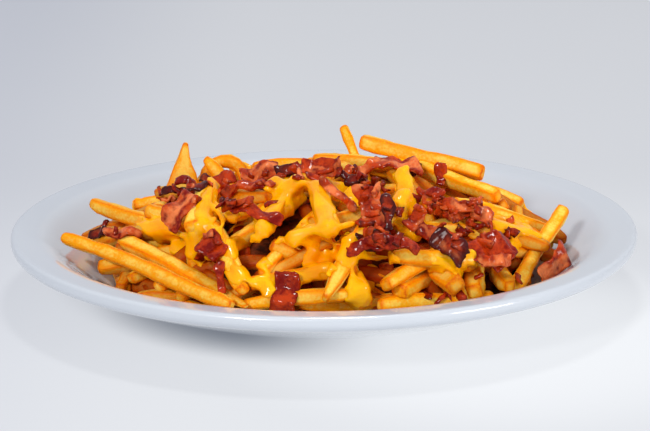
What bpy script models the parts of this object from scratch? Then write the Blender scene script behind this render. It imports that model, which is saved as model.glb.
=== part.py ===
"""Cheese fries with bacon, heaped on a round glazed plate.

The plate stands with the middle of its foot at the origin, +Z up, and its front
towards -Y. Lengths are named in millimetres and become metres in the meshes.

The heap is laid out as it looks from a seat at the table. A place in it is given
as (across, up, back): across and up on an upright picture of the plate, and back
from the middle of the plate, so that the front of the heap has negative numbers.
"""
import math

import bmesh
import bpy
import numpy as np
from mathutils import Vector
from mathutils.bvhtree import BVHTree

MM = 0.001
GAP = 0.35  # left between pieces that rest on each other

# Plate
PLATE_RADIUS = 150.0
PLATE_HEIGHT = 32.0
WELL_RADIUS = 84.0
WELL_TOP = 6.0
WALL = 4.5
FOOT_RADIUS = 80.0
FOOT_WIDTH = 6.0
FOOT_HEIGHT = 2.2
PLATE_STEPS = 48

# Seat from which the heap is laid out
SEAT_ELEVATION = math.radians(17.2)
SEAT_DISTANCE = 1100.0
TOWARD_SEAT = np.array([0.0, -math.cos(SEAT_ELEVATION), math.sin(SEAT_ELEVATION)])
PICTURE_UP = np.array([0.0, math.sin(SEAT_ELEVATION), math.cos(SEAT_ELEVATION)])
SEAT = SEAT_DISTANCE * TOWARD_SEAT

# Heap: half of an ellipsoid over the plate, which the outermost fries lie on
HEAP_MIDDLE = np.array([0.0, -2.0, 6.5])
HEAP_SIZE = np.array([118.0, 93.0, 52.0])
FRY_THICKNESS = 7.6
OUTER_PLACES = 96
INNER_PLACES = 64
OUTER_DEPTH = 6.0
INNER_DEPTH = 17.0
OUTER_ROOM = 11.0
INNER_ROOM = 4.0
LOWEST_PLACE = 0.06
FRONT_FACING = 0.45
CROWN = 0.85
GOLDEN_ANGLE = math.pi * (3.0 - math.sqrt(5.0))
SEEN_RINGS = 4
SPREAD_RINGS = 3
END_SIZE = 0.78

# Core: how far it stays inside the heap, and its rings as shares of its width and
# height, down the dome and then back along the underside
CORE_DEPTH = 10.0
CORE_INSET = 4.0
CORE_EDGE = 4.0
CORE_STEPS = 24
CORE_RINGS = ((0.05, 1.0), (0.35, 0.95), (0.62, 0.80), (0.84, 0.52), (0.97, 0.16),
              (0.97, None), (0.80, None), (0.05, None))

# Settling: the share of each push that is followed, and of the way back to its own
# place that a fry takes in one step. Fries that show keep their place in the picture.
SETTLE_STEPS = 120
EASE = 0.6
SEEN_SHARE = 0.35
SEEN_SHIFT = 0.3
SEEN_TURN = 0.3
HOME_IN_PICTURE = 0.4
HOME_IN_DEPTH = 0.1
HOME_UNSEEN = 0.02
TURN_BACK = 0.3
TILT_BACK = 0.12
INTO_HEAP = 0.5
REST_SHARE = 0.62

# Fries that show from the seat: tip, a second point, whole length, thickness
LEFT_FRIES = [
    ((-126, 25, -26), (-45, -8, -86), 106, 7.4),
    ((-99, 23, -27), (-41, -8, -86), 88, 7.6),
    ((-113, 42, 14), (-77, 29, -29), 70, 8.0),
    ((-93, 41, 20), (-67, 43, 24), 58, 7.6),
    ((-108, 29, 8), (-84, 24, -23), 52, 6.0),
    ((-110, 10, -40), (-84, 13, -40), 46, 7.6),
    ((-95, 4, -50), (-75, 13, -40), 44, 7.0),
    ((-81, 0, -64), (-67, 13, -44), 48, 8.0),
    ((-71, -5, -72), (-58, 6, -56), 44, 7.6),
    ((-86, 38, -18), (-60, 31, -42), 46, 8.0),
    ((-55, 50, -16), (-61, 30, -45), 44, 8.6),
    ((-61, 27, -50), (-64, 8, -57), 28, 8.0),
    ((-62, 69, 30), (-69, 48, 22), 48, 8.4),
    ((-58, 63, 34), (-49, 53, 30), 44, 8.0),
    ((-54, 63, 36), (-39, 58, 36), 50, 7.4),
    ((-44, 35, -51), (-30, 41, -15), 52, 8.4),
]
MIDDLE_FRIES = [
    ((-33, 23, -72), (-20, 42, -31), 58, 9.0),
    ((-25, 50, -26), (-18, 42, -14), 44, 8.0),
    ((-15, 49, -32), (3, 56, 6), 60, 8.0),
    ((-7, 51, -29), (8, 47, -12), 50, 7.6),
    ((-3, 47, -38), (1, 32, -60), 44, 8.6),
    ((-17, 21, -76), (18, 31, -50), 56, 8.0),
    ((-30, 6, -77), (-12, 24, -52), 48, 7.8),
    ((-39, -2, -86), (-47, 17, -63), 44, 8.4),
    ((-47, 20, -62), (-36, 25, -47), 44, 7.6),
    ((-1, -6, -92), (14, 18, -72), 46, 8.8),
    ((13, 17, -74), (24, 27, -53), 46, 8.4),
    ((-36, 2, -79), (-1, 6, -76), 48, 7.2),
    ((-39, -8, -84), (-19, -6, -84), 50, 7.6),
    ((-13, -9, -86), (14, -8, -84), 52, 7.8),
    ((6, 27, -51), (24, 35, -27), 46, 8.0),
    ((-11, 18, -57), (10, 9, -64), 44, 7.6),
    ((3, 14, -70), (-6, 24, -50), 46, 7.6),
    ((-35, 58, 34), (-11, 59, 36), 52, 7.6),
    ((-5, 63, 36), (11, 61, 34), 48, 7.2),
]
RIGHT_FRIES = [
    ((18, 71, 40), (77, 55, 24), 64, 8.4),
    ((9, 78, 42), (16, 62, 36), 44, 6.0),
    ((39, 61, 34), (78, 44, -3), 62, 7.6),
    ((3, 62, 38), (24, 58, 34), 50, 7.6),
    ((116, 37, 4), (95, 1, -56), 78, 7.4),
    ((108, 28, 5), (83, 36, -10), 56, 6.4),
    ((106, 22, -12), (87, 29, -23), 52, 7.4),
    ((103, 16, -26), (86, 17, -38), 46, 7.2),
    ((32, 14, -77), (62, 13, -70), 40, 8.0),
    ((29, 0, -86), (46, 10, -64), 46, 8.4),
    ((36, -2, -86), (52, 4, -67), 44, 8.0),
    ((64, 0, -80), (51, 9, -60), 46, 8.8),
    ((73, -3, -76), (75, 12, -50), 46, 8.0),
    ((91, -1, -66), (84, 10, -47), 44, 8.6),
    ((26, -9, -85), (56, -7, -77), 56, 8.0),
    ((18, -5, -88), (14, 10, -69), 42, 8.4),
    ((21, -7, -88), (13, -3, -79), 34, 8.0),
    ((39, 56, -9), (42, 38, -37), 44, 8.6),
    ((49, 31, -46), (71, 26, -37), 50, 8.0),
    ((46, 24, -60), (28, 31, -46), 46, 8.0),
    ((67, 9, -62), (86, 20, -30), 52, 8.0),
]

# Cheese sauce: paths over the heap as (across, up), with the strand's radius
STRAND_SIDES = 6
STRAND_FLATNESS = 0.7
STRAND_END = 0.55
BEHIND_HEAP = 60.0
SMOOTHING_STEPS = 60
SAG = 0.4
SAUCE_STRANDS = [
    (5.0, [(-78, 32), (-72, 27), (-65, 24), (-58, 28)]),
    (4.4, [(-55, 49), (-57, 40), (-59, 31), (-62, 21), (-63, 13)]),
    (3.6, [(-53, 40), (-49, 32), (-51, 23)]),
    (4.6, [(-19, 42), (-25, 33), (-31, 25)]),
    (4.4, [(-26, 47), (-19, 45), (-10, 51), (-2, 49), (7, 42)]),
    (4.6, [(-4, 47), (-3, 39), (-1, 32), (3, 28)]),
    (3.0, [(-16, 47), (-18, 40), (-15, 35)]),
    (4.4, [(-16, 23), (-8, 27), (3, 28), (15, 31)]),
    (2.8, [(-8, 25), (-7, 20), (-6, 15)]),
    (4.2, [(10, 23), (14, 18), (21, 14), (31, 14)]),
    (3.0, [(14, 12), (13, 6), (16, 0)]),
    (3.4, [(37, 46), (38, 40), (39, 31), (37, 24)]),
    (3.0, [(28, 40), (33, 35), (39, 35)]),
    (4.0, [(86, 33), (94, 29), (106, 23)]),
    (3.0, [(-30, 5), (-27, 0), (-21, -2)]),
    (3.2, [(44, 49), (52, 44), (59, 38)]),
]

# Bacon that shows from the seat: across, up, length, width, angle in degrees
BACON_SEEN = [
    (-71, 38, 18, 13, 60), (-68, 47, 18, 4, -10), (-68, 52, 8, 6, 0),
    (-62, 50, 8, 5, 20), (-56, 54, 12, 5, -45), (-49, 54, 10, 7, 10),
    (-31, 56, 18, 10, 15), (-39, 49, 22, 6, -12), (-33, 41, 24, 7, -30),
    (-42, 41, 15, 5, 0), (-15, 60, 14, 7, 10), (0, 58, 18, 11, -5),
    (13, 59, 12, 5, -5), (17, 55, 10, 5, 0), (36, 61, 19, 13, 0),
    (20, 62, 13, 6, 20), (24, 41, 22, 12, 100), (31, 37, 17, 5, 90),
    (7, 45, 20, 5, -40), (25, 24, 15, 9, 20), (21, 20, 17, 5, 15),
    (35, 21, 20, 7, -10), (54, 25, 18, 9, -20), (62, 21, 17, 12, -40),
    (81, 22, 22, 18, 35), (84, 12, 17, 7, 5), (113, 12, 20, 11, 25),
    (56, 44, 13, 8, -30), (66, 42, 13, 8, 30), (77, 39, 12, 8, -30),
    (67, 46, 15, 5, -5), (45, 58, 9, 5, 70), (51, 52, 12, 5, -40),
    (57, 53, 10, 5, 90), (45, 34, 13, 8, 60), (-55, 20, 15, 11, -45),
    (-51, 10, 13, 5, 95), (-19, -3, 17, 13, 85), (-110, 27, 10, 5, -5),
    (-98, 27, 16, 5, -5),
]
BACON_BEHIND = 12
BACON_THICKNESS = 1.8
BEHIND_FROM, BEHIND_TURN = 38.0, 104.0
BEHIND_LOW, BEHIND_RISE = 0.30, 0.45
LEAN_TRIES = 10
LEAN = 0.35
CHIP_FACING = 0.9
CHIP_STARTS = (45.0, 30.0, 20.0, 12.0, 6.0, 0.0)
CHIP_RAISED = (0.0, 2.0, 4.0)
CHIP_REACH = 60.0
CHIP_SINK = 30.0
CHIP_STEP = 2.0

WHITE_GLAZE = (0.80, 0.83, 0.88)
FRIED_POTATO = (0.83, 0.47, 0.11)
COOKED_BACON = (0.33, 0.06, 0.03)


def clear_scene():
    for thing in list(bpy.data.objects):
        bpy.data.objects.remove(thing, do_unlink=True)


def plain_material(name, colour, roughness):
    material = bpy.data.materials.new(name)
    material.use_nodes = True
    shader = material.node_tree.nodes["Principled BSDF"]
    shader.inputs["Base Color"].default_value = (*colour, 1.0)
    shader.inputs["Roughness"].default_value = roughness
    shader.inputs["Metallic"].default_value = 0.0
    return material


def add_object(name, bm, material):
    """Turn a bmesh drawn in millimetres into an object in metres."""
    bmesh.ops.scale(bm, vec=(MM, MM, MM), verts=bm.verts)
    mesh = bpy.data.meshes.new(name)
    bm.to_mesh(mesh)
    bm.free()
    mesh.materials.append(material)
    thing = bpy.data.objects.new(name, mesh)
    bpy.context.collection.objects.link(thing)
    return thing


def skin(bm, rings):
    """Join rings of equally many points into a wall, closed at both ends."""
    loops = [[bm.verts.new(point) for point in ring] for ring in rings]
    for lower, upper in zip(loops, loops[1:]):
        for i in range(len(lower)):
            j = (i + 1) % len(lower)
            bm.faces.new((lower[i], lower[j], upper[j], upper[i]))
    bm.faces.new(list(reversed(loops[0])))
    bm.faces.new(loops[-1])
    bmesh.ops.recalc_face_normals(bm, faces=bm.faces)


def bezier(a, b, c, d, steps):
    """Points of a cubic Bezier curve, both ends included."""
    t = np.linspace(0.0, 1.0, steps + 1)[:, None]
    a, b, c, d = (np.array(p, dtype=float) for p in (a, b, c, d))
    return (1 - t) ** 3 * a + 3 * t * (1 - t) ** 2 * b + 3 * t ** 2 * (1 - t) * c + t ** 3 * d


def flange(steps):
    """The plate's upper surface from the edge of the well out to the lip."""
    return bezier((WELL_RADIUS, WELL_TOP), (WELL_RADIUS + 24, WELL_TOP - 1),
                  (118.0, 26.2), (PLATE_RADIUS - 2.0, PLATE_HEIGHT), steps)


FLANGE_FINE = flange(40)


def plate_top(radius):
    """Height of the plate's upper surface at a distance from its middle."""
    return np.interp(radius, FLANGE_FINE[:, 0], FLANGE_FINE[:, 1])


def off_glaze(ring):
    """The ring of points, raised as far as it takes to keep it clear of the plate."""
    ring = np.array(ring)
    floor = plate_top(np.hypot(ring[:, 0], ring[:, 1])) + 2 * GAP
    return ring + (0.0, 0.0, max(0.0, float(np.max(floor - ring[:, 2]))))


def make_plate(material):
    upper = flange(7)
    under = bezier((PLATE_RADIUS - 3.5, PLATE_HEIGHT - WALL), (118.0, 26.2 - WALL),
                   (110.0, 1.8), (FOOT_RADIUS + 3.0, 2.6), 4)
    lip = [(PLATE_RADIUS - 0.5, PLATE_HEIGHT - 0.7), (PLATE_RADIUS, PLATE_HEIGHT - 2.2)]
    foot = [(FOOT_RADIUS, 0.0), (FOOT_RADIUS - FOOT_WIDTH, 0.0),
            (FOOT_RADIUS - FOOT_WIDTH - 1.5, FOOT_HEIGHT)]
    section = [(0.0, WELL_TOP), *upper, *lip, *under, *foot, (0.0, FOOT_HEIGHT)]
    bm = bmesh.new()
    points = [bm.verts.new((r, 0.0, z)) for r, z in section]
    edges = [bm.edges.new(pair) for pair in zip(points, points[1:])]
    bmesh.ops.spin(bm, geom=points + edges, axis=(0, 0, 1), cent=(0, 0, 0),
                   angle=math.tau, steps=PLATE_STEPS, use_merge=True)
    bmesh.ops.remove_doubles(bm, verts=bm.verts, dist=0.001)
    bmesh.ops.recalc_face_normals(bm, faces=bm.faces)
    plate = add_object("plate", bm, material)
    plate.data.shade_smooth()
    plate.data.set_sharp_from_angle(angle=math.radians(35))
    return plate


def place(across, up, back):
    """The point that shows at (across, up) from the seat and lies `back` of the middle."""
    picture = np.array([across, 0.0, 0.0]) + up * PICTURE_UP
    ray = picture - SEAT
    return SEAT + (back - SEAT[1]) / ray[1] * ray


def on_heap(direction, depth):
    """The point of the heap in a direction from its middle, some way under its outline."""
    return HEAP_MIDDLE + direction * (HEAP_SIZE - depth)


def heap_normal(point):
    outward = (point - HEAP_MIDDLE) / HEAP_SIZE ** 2
    return outward / np.linalg.norm(outward)


def dome_direction(k, count, lowest):
    """The k-th of `count` directions spread evenly over a dome by the golden angle."""
    height = 1.0 - (k + 0.5) / count * (1.0 - lowest)
    around, turn = math.sqrt(1.0 - height * height), k * GOLDEN_ANGLE
    return np.array([around * math.cos(turn), around * math.sin(turn), height])


def unit(vectors):
    return vectors / np.linalg.norm(vectors, axis=-1, keepdims=True)


def along_sight(vectors):
    """The part of each vector that points towards the seat."""
    return (vectors @ TOWARD_SEAT)[:, None] * TOWARD_SEAT


class Heap:
    """All fries as slightly bowed sticks: middle, axis, bow direction and sizes."""

    def __init__(self):
        self.rng = np.random.default_rng(11)
        self.rows = []

    def add(self, tip, root, length, thickness, shown):
        axis = unit(root - tip)
        random_side = unit(np.cross(axis, self.rng.normal(size=3)))
        sideways = unit(np.cross(axis, np.cross(TOWARD_SEAT, axis))) if shown == 2 else random_side
        bow = self.rng.uniform(-0.03, 0.03) * length
        self.rows.append((tip + axis * length / 2, axis, sideways, length, thickness, bow, shown))

    def add_seen(self):
        for tip, second, length, thickness in LEFT_FRIES + MIDDLE_FRIES + RIGHT_FRIES:
            self.add(place(*tip), place(*second), length, thickness, 2)

    def add_spread(self, places, depth, room, front):
        """Fries that lie along the heap wherever no fry is near: all round, or not in front."""
        taken = np.array([middle + axis * length * share
                          for middle, axis, side, length, *rest in self.rows
                          for share in (-0.4, -0.2, 0.0, 0.2, 0.4)])
        for k in range(places):
            direction = dome_direction(k, places, LOWEST_PLACE)
            middle = on_heap(direction, depth)
            outward = heap_normal(middle)
            in_front = outward @ TOWARD_SEAT > FRONT_FACING
            along = unit(np.cross(outward, self.rng.normal(size=3)))
            along = unit(along + outward * self.rng.uniform(-0.3, 0.3))
            length = self.rng.uniform(46.0, 90.0)
            thickness = FRY_THICKNESS * self.rng.uniform(0.85, 1.15)
            if (in_front and not front) or np.min(np.linalg.norm(taken - middle, axis=1)) < room:
                continue
            shown = 1 if in_front or not front or direction[2] > CROWN else 0
            self.add(middle - along * length / 2, middle + along * length / 2, length, thickness, shown)

    def freeze(self):
        columns = [np.array(column, dtype=float) for column in zip(*self.rows)]
        self.middle, self.axis, self.sideways, self.length, self.thickness, self.bow, self.shown = columns
        self.start_tip, self.start_axis = self.tips(), self.axis.copy()

    def tips(self):
        return self.middle - self.axis * self.length[:, None] / 2

    def along(self, count):
        """Points evenly spaced along every fry."""
        s = np.linspace(-0.5, 0.5, count)[None, :, None]
        bend = self.bow[:, None, None] * (1.0 - 4.0 * s * s)
        return (self.middle[:, None] + self.axis[:, None] * self.length[:, None, None] * s
                + self.sideways[:, None] * bend)

    def settle(self):
        """Push the fries apart, off the plate and back to the heap until they lie still."""
        seen = self.shown == 2
        free = np.where(seen, SEEN_SHARE, 1.0)
        for step in range(SETTLE_STEPS):
            beads, knots = self.along(11), self.along(5)
            push = self.contact(beads, knots, free) + self.off_plate(beads)
            push[~seen] += self.into_heap(beads[~seen])
            touched = np.linalg.norm(push, axis=2) > 1e-9
            count = np.maximum(touched.sum(axis=1), 1)[:, None]
            move = EASE * push.sum(axis=1) / count
            arm = beads - self.middle[:, None]
            reach = (np.sum(arm * arm, axis=2) * touched).sum(axis=1) + self.length ** 2 / 24
            spin = EASE * np.cross(arm, push).sum(axis=1) / reach[:, None]
            move_deep, spin_flat = along_sight(move), along_sight(spin)
            move[seen] = (move_deep + SEEN_SHIFT * (move - move_deep))[seen]
            spin[seen] = (SEEN_TURN * spin_flat + spin - spin_flat)[seen]
            home = self.start_tip - self.tips()
            home_deep = along_sight(home)
            move[seen] += (HOME_IN_PICTURE * (home - home_deep) + HOME_IN_DEPTH * home_deep)[seen]
            move[~seen] += HOME_UNSEEN * home[~seen]
            back = np.cross(self.axis, self.start_axis)
            back_flat = along_sight(back)
            spin[seen] += (TURN_BACK * back_flat + TILT_BACK * (back - back_flat))[seen]
            self.middle = self.middle + move
            self.axis = unit(self.axis + np.cross(spin, self.axis))
            self.sideways = self.sideways + np.cross(spin, self.sideways)
            self.sideways -= np.sum(self.sideways * self.axis, axis=1)[:, None] * self.axis
            self.sideways = unit(self.sideways)

    def contact(self, beads, knots, free):
        """How far each bead is pushed by the straight pieces of the other fries."""
        fries, per_fry = beads.shape[:2]
        p = beads.reshape(-1, 3)
        a = knots[:, :-1].reshape(-1, 3)
        d = knots[:, 1:].reshape(-1, 3) - a
        owner_p = np.repeat(np.arange(fries), per_fry)
        owner_a = np.repeat(np.arange(fries), knots.shape[1] - 1)
        dd = np.sum(d * d, axis=1)
        reached = p @ d.T - np.sum(a * d, axis=1)
        t = np.clip(reached / dd, 0.0, 1.0)
        base = np.sum(p * p, axis=1)[:, None] - 2 * p @ a.T + np.sum(a * a, axis=1)
        gap2 = base - 2 * t * reached + t * t * dd
        wanted = (self.thickness[owner_p][:, None] + self.thickness[owner_a][None, :]) / 2
        near = (gap2 < wanted ** 2) & (owner_p[:, None] != owner_a[None, :])
        i, j = np.nonzero(near)
        offset = p[i] - (a[j] + t[i, j][:, None] * d[j])
        gap = np.linalg.norm(offset, axis=1)
        outward = offset / np.maximum(gap, 0.5)[:, None]
        share = free[owner_p[i]] / (free[owner_p[i]] + free[owner_a[j]])
        push = np.zeros_like(p)
        np.add.at(push, i, outward * ((wanted[i, j] - gap) * share)[:, None])
        return push.reshape(beads.shape)

    def into_heap(self, beads):
        """Push back what stands out of the heap's outline."""
        scaled = (beads - HEAP_MIDDLE) / (HEAP_SIZE - FRY_THICKNESS / 2)
        over = np.maximum(np.linalg.norm(scaled, axis=2) - 1.0, 0.0)
        return -INTO_HEAP * over[..., None] * scaled / (1.0 + over[..., None]) * HEAP_SIZE

    def off_plate(self, beads):
        radius = np.maximum(np.linalg.norm(beads[..., :2], axis=2), 1e-6)
        rest = plate_top(radius) + self.thickness[:, None] * REST_SHARE + GAP
        slope = plate_top(radius + 1.0) - plate_top(radius)
        depth = np.maximum(rest - beads[..., 2], 0.0) / np.sqrt(1 + slope * slope)
        inward = -beads[..., :2] / radius[..., None]
        up = np.dstack([inward * slope[..., None], np.ones_like(slope)])
        return depth[..., None] * unit(up)


def laid_out_heap():
    heap = Heap()
    heap.add_seen()
    heap.add_spread(OUTER_PLACES, OUTER_DEPTH, OUTER_ROOM, front=False)
    heap.add_spread(INNER_PLACES, INNER_DEPTH, INNER_ROOM, front=True)
    heap.freeze()
    heap.settle()
    return heap


def make_fry(heap, index, material):
    """One fry: a square stick with tapering ends, bowed along its length."""
    knots = heap.along(SEEN_RINGS if heap.shown[index] == 2 else SPREAD_RINGS)[index]
    side, up = heap.sideways[index], np.cross(heap.axis[index], heap.sideways[index])
    half = heap.thickness[index] / 2
    bm = bmesh.new()
    rings = []
    for k, point in enumerate(knots):
        size = half * (END_SIZE if k in (0, len(knots) - 1) else 1.0)
        corners = [(-size, -size), (size, -size), (size, size), (-size, size)]
        rings.append(off_glaze([point + x * side + y * up for x, y in corners]))
    skin(bm, rings)
    return add_object("stick", bm, material)


def make_core(material):
    """The packed middle of the heap, a low dome that rests just off the plate."""
    wide, deep, high = HEAP_SIZE - CORE_DEPTH
    turns = np.linspace(0.0, math.tau, CORE_STEPS, endpoint=False)
    rings = []
    for spread, share in CORE_RINGS:
        x = (wide - CORE_INSET) * spread * np.cos(turns)
        y = (deep - CORE_INSET) * spread * np.sin(turns) + HEAP_MIDDLE[1]
        under = plate_top(np.hypot(x, y)) + 2 * GAP
        z = under if share is None else np.maximum(under + CORE_EDGE, WELL_TOP + share * high)
        rings.append(np.column_stack([x, y, z]))
    bm = bmesh.new()
    skin(bm, rings)
    return add_object("fries", bm, material)


def tree_of(things):
    """A search tree over several objects' faces, in metres."""
    points, faces = [], []
    for thing in things:
        first = len(points)
        points += [v.co.copy() for v in thing.data.vertices]
        faces += [[first + i for i in face.vertices] for face in thing.data.polygons]
    return BVHTree.FromPolygons(points, faces)


def seen_surface(tree, across, up):
    """The sight line through (across, up), and how far along it the tree is met, in mm."""
    ray = unit(np.array([across, 0.0, 0.0]) + up * PICTURE_UP - SEAT)
    point, normal, face, distance = tree.ray_cast(Vector(SEAT * MM), Vector(ray))
    return ray, SEAT_DISTANCE + BEHIND_HEAP if point is None else distance / MM


def draped(tree, path, radius):
    """A sauce strand's middle line, drawn tight over what lies under it."""
    path = np.array(path, dtype=float)
    steps = np.concatenate([[0], np.cumsum(np.linalg.norm(np.diff(path, axis=0), axis=1))])
    count = max(3, int(round(steps[-1] / (2.0 * radius))) + 1)
    at = np.linspace(0, steps[-1], count)
    across, up = np.interp(at, steps, path[:, 0]), np.interp(at, steps, path[:, 1])
    rays, depths = zip(*[seen_surface(tree, x, y) for x, y in zip(across, up)])
    depth = np.array(depths)
    for step in range(SMOOTHING_STEPS):
        depth[1:-1] = np.minimum(depth[1:-1], (depth[:-2] + depth[2:]) / 2 + SAG)
        depth[0] = min(depth[0], depth[1] + 2.0 * radius)
        depth[-1] = min(depth[-1], depth[-2] + 2.0 * radius)
    return SEAT + np.array(rays) * depth[:, None]


def make_strand(tree, path, radius, material):
    """A thick strand of sauce: a six-sided tube, pinched at both ends."""
    line = draped(tree, path, radius)
    last = len(line) - 1
    turns = np.linspace(0.0, math.tau, STRAND_SIDES, endpoint=False)[:, None]
    rings = []
    for k, point in enumerate(line):
        along = unit(line[min(k + 1, last)] - line[max(k - 1, 0)])
        side = unit(np.cross(along, TOWARD_SEAT))
        out = STRAND_FLATNESS * np.cross(side, along)
        size = radius * (STRAND_END if k in (0, last) else 1.0)
        rings.append(off_glaze(point + size * (np.cos(turns) * side + np.sin(turns) * out)))
    bm = bmesh.new()
    skin(bm, rings)
    return add_object("strand", bm, material)


def largest_shell(bm):
    """Delete all but the outermost connected surface."""
    left, shells = set(bm.faces), []
    while left:
        shell, edge = set(), [next(iter(left))]
        while edge:
            face = edge.pop()
            if face in shell:
                continue
            shell.add(face)
            edge += [other for e in face.edges for other in e.link_faces if other not in shell]
        left -= shell
        shells.append(shell)
    shells.sort(key=lambda shell: -sum(face.calc_area() for face in shell))
    loose = [face for shell in shells[1:] for face in shell]
    bmesh.ops.delete(bm, geom=loose, context="FACES")


def part_shared_edges(bm):
    """Give a pair of triangles its own middle point where two surfaces share a diagonal."""
    def start(face, edge):
        return next(loop.vert for loop in face.loops if loop.edge is edge)

    bm.normal_update()
    for edge in [edge for edge in bm.edges if len(edge.link_faces) > 2]:
        first = edge.link_faces[0]
        facing = [face for face in edge.link_faces if start(face, edge) is not start(first, edge)]
        mate = max(facing, key=lambda face: face.normal.dot(first.normal))
        middle = bm.verts.new((edge.verts[0].co + edge.verts[1].co) / 2)
        for face in (first, mate):
            for end in edge.verts:
                bm.faces.new([middle if corner is end else corner for corner in face.verts])
        bmesh.ops.delete(bm, geom=[first, mate], context="FACES_ONLY")


def fuse(base, things):
    """Join objects that overlap into one closed solid."""
    group = bpy.data.collections.new("to_fuse")
    for thing in things:
        group.objects.link(thing)
    union = base.modifiers.new("union", "BOOLEAN")
    union.operation = "UNION"
    union.operand_type = "COLLECTION"
    union.collection = group
    union.solver = "MANIFOLD"  # EXACT leaves edges here that four faces share
    evaluated = base.evaluated_get(bpy.context.evaluated_depsgraph_get())
    bm = bmesh.new()
    bm.from_mesh(evaluated.to_mesh())
    evaluated.to_mesh_clear()
    base.modifiers.remove(union)
    for thing in things:
        bpy.data.objects.remove(thing, do_unlink=True)
    bpy.data.collections.remove(group)
    bmesh.ops.remove_doubles(bm, verts=bm.verts, dist=0.002 * MM)
    bmesh.ops.triangulate(bm, faces=bm.faces)
    largest_shell(bm)
    part_shared_edges(bm)
    bm.to_mesh(base.data)
    bm.free()


def make_fries(material):
    heap = laid_out_heap()
    core = make_core(material)
    shown = [i for i in range(len(heap.length)) if heap.shown[i] > 0]
    sticks = [make_fry(heap, i, material) for i in shown]
    tree = tree_of([core] + sticks)
    strands = [make_strand(tree, path, radius, material) for radius, path in SAUCE_STRANDS]
    fuse(core, sticks + strands)
    return core


class Chip:
    """A scrap of bacon: a thin wavy sheet, both faces split into triangles alike."""

    def __init__(self, rng, length, width, angle):
        self.length, self.width = length, width
        self.angle = math.radians(angle)
        self.wave = rng.uniform(0.05, 0.10) * length
        self.phase = rng.uniform(0.0, math.tau)
        self.cells = (4 if length > 15 else 3, 2 if width > 7 else 1)
        self.trim = rng.uniform(0.72, 1.0, size=(2, self.cells[0] + 1))

    def sheet(self, grow):
        """The middle surface as a grid of points, in the chip's own plane."""
        nx, ny = self.cells
        grid = np.zeros((nx + 1, ny + 1, 3))
        for i in range(nx + 1):
            s = i / nx - 0.5
            for j in range(ny + 1):
                t = j / ny - 0.5
                edge = self.trim[0 if t < 0 else 1, i]
                grid[i, j] = (s * (self.length + 2 * grow), t * (self.width * edge + 2 * grow),
                              self.wave * math.sin(s * 7.0 + self.phase + t))
        return grid

    def build(self, origin, frame, grow):
        """A bmesh of the chip with its faces `grow` proud of the real ones."""
        nx, ny = self.cells
        grid = self.sheet(grow)
        half = BACON_THICKNESS / 2 + grow
        bm = bmesh.new()
        layers = []
        for lift in (-half, half):
            layers.append([[bm.verts.new(origin + (grid[i, j] + (0, 0, lift)) @ frame)
                            for j in range(ny + 1)] for i in range(nx + 1)])
        low, high = layers
        for i in range(nx):
            for j in range(ny):
                for layer in layers:
                    a, b, c, d = layer[i][j], layer[i + 1][j], layer[i + 1][j + 1], layer[i][j + 1]
                    bm.faces.new((a, b, c))
                    bm.faces.new((a, c, d))
        rim = [(i, 0) for i in range(nx)] + [(nx, j) for j in range(ny)]
        rim += [(i, ny) for i in range(nx, 0, -1)] + [(0, j) for j in range(ny, 0, -1)]
        for (i, j), (k, m) in zip(rim, rim[1:] + rim[:1]):
            bm.faces.new((low[i][j], low[k][m], high[k][m], high[i][j]))
        bmesh.ops.recalc_face_normals(bm, faces=bm.faces)
        return bm


def chip_frame(normal, angle, lean_x, lean_y):
    """Rows: the chip's long axis, its width and its normal, turned and leant."""
    normal = unit(normal + np.array([lean_x, 0.0, 0.0]) + lean_y * PICTURE_UP)
    seen_along = math.cos(angle) * np.array([1.0, 0.0, 0.0]) + math.sin(angle) * PICTURE_UP
    across = unit(np.cross(normal, seen_along))
    return np.array([np.cross(across, normal), across, normal])


def touches(chip, origin, frame, obstacles):
    """Whether a chip there would come nearer than the gap to what lies round it."""
    bm = chip.build(origin, frame, GAP)
    bmesh.ops.scale(bm, vec=(MM, MM, MM), verts=bm.verts)
    own = BVHTree.FromBMesh(bm)
    bm.free()
    return any(own.overlap(tree) for tree in obstacles)


def slide(chip, origin, direction, frame, obstacles, reach):
    """How far a chip moves along a direction before it touches, or the whole reach."""
    done, step = 0.0, CHIP_STEP
    while done < reach and step > CHIP_STEP / 10:
        if touches(chip, origin + direction * (done + step), frame, obstacles):
            step /= 2
        else:
            done += step
    return done


def lay_chip(chip, outline_point, sight, normal, obstacles, rng):
    """The deepest resting place of a chip that keeps its place in the picture."""
    best = None
    for attempt in range(LEAN_TRIES):
        lean = rng.uniform(-LEAN, LEAN, size=2) if attempt else (0.0, 0.0)
        frame = chip_frame(normal, chip.angle, *lean)
        starts = [outline_point - sight * away + PICTURE_UP * raised
                  for raised in CHIP_RAISED for away in CHIP_STARTS]
        clear = [start for start in starts if not touches(chip, start, frame, obstacles)]
        if not clear:
            continue
        forward = slide(chip, clear[0], sight, frame, obstacles, CHIP_REACH)
        origin = clear[0] + sight * forward
        inward = slide(chip, origin, -normal, frame, obstacles, CHIP_SINK)
        origin = origin - normal * inward
        depth = float((outline_point - origin) @ normal)
        if best is None or depth > best[0]:
            best = (depth, origin, frame)
    return best[1], best[2]


def nearest_on_heap(across, up):
    """Where a sight line enters the heap's outline, or the point where it passes nearest."""
    target = np.array([across, 0.0, 0.0]) + up * PICTURE_UP
    sight = unit(target - SEAT)
    start, step = (SEAT - HEAP_MIDDLE) / HEAP_SIZE, sight / HEAP_SIZE
    a, b, c = step @ step, start @ step, start @ start - 1.0
    return SEAT + sight * ((-b - math.sqrt(max(b * b - a * c, 0.0))) / a), sight


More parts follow.
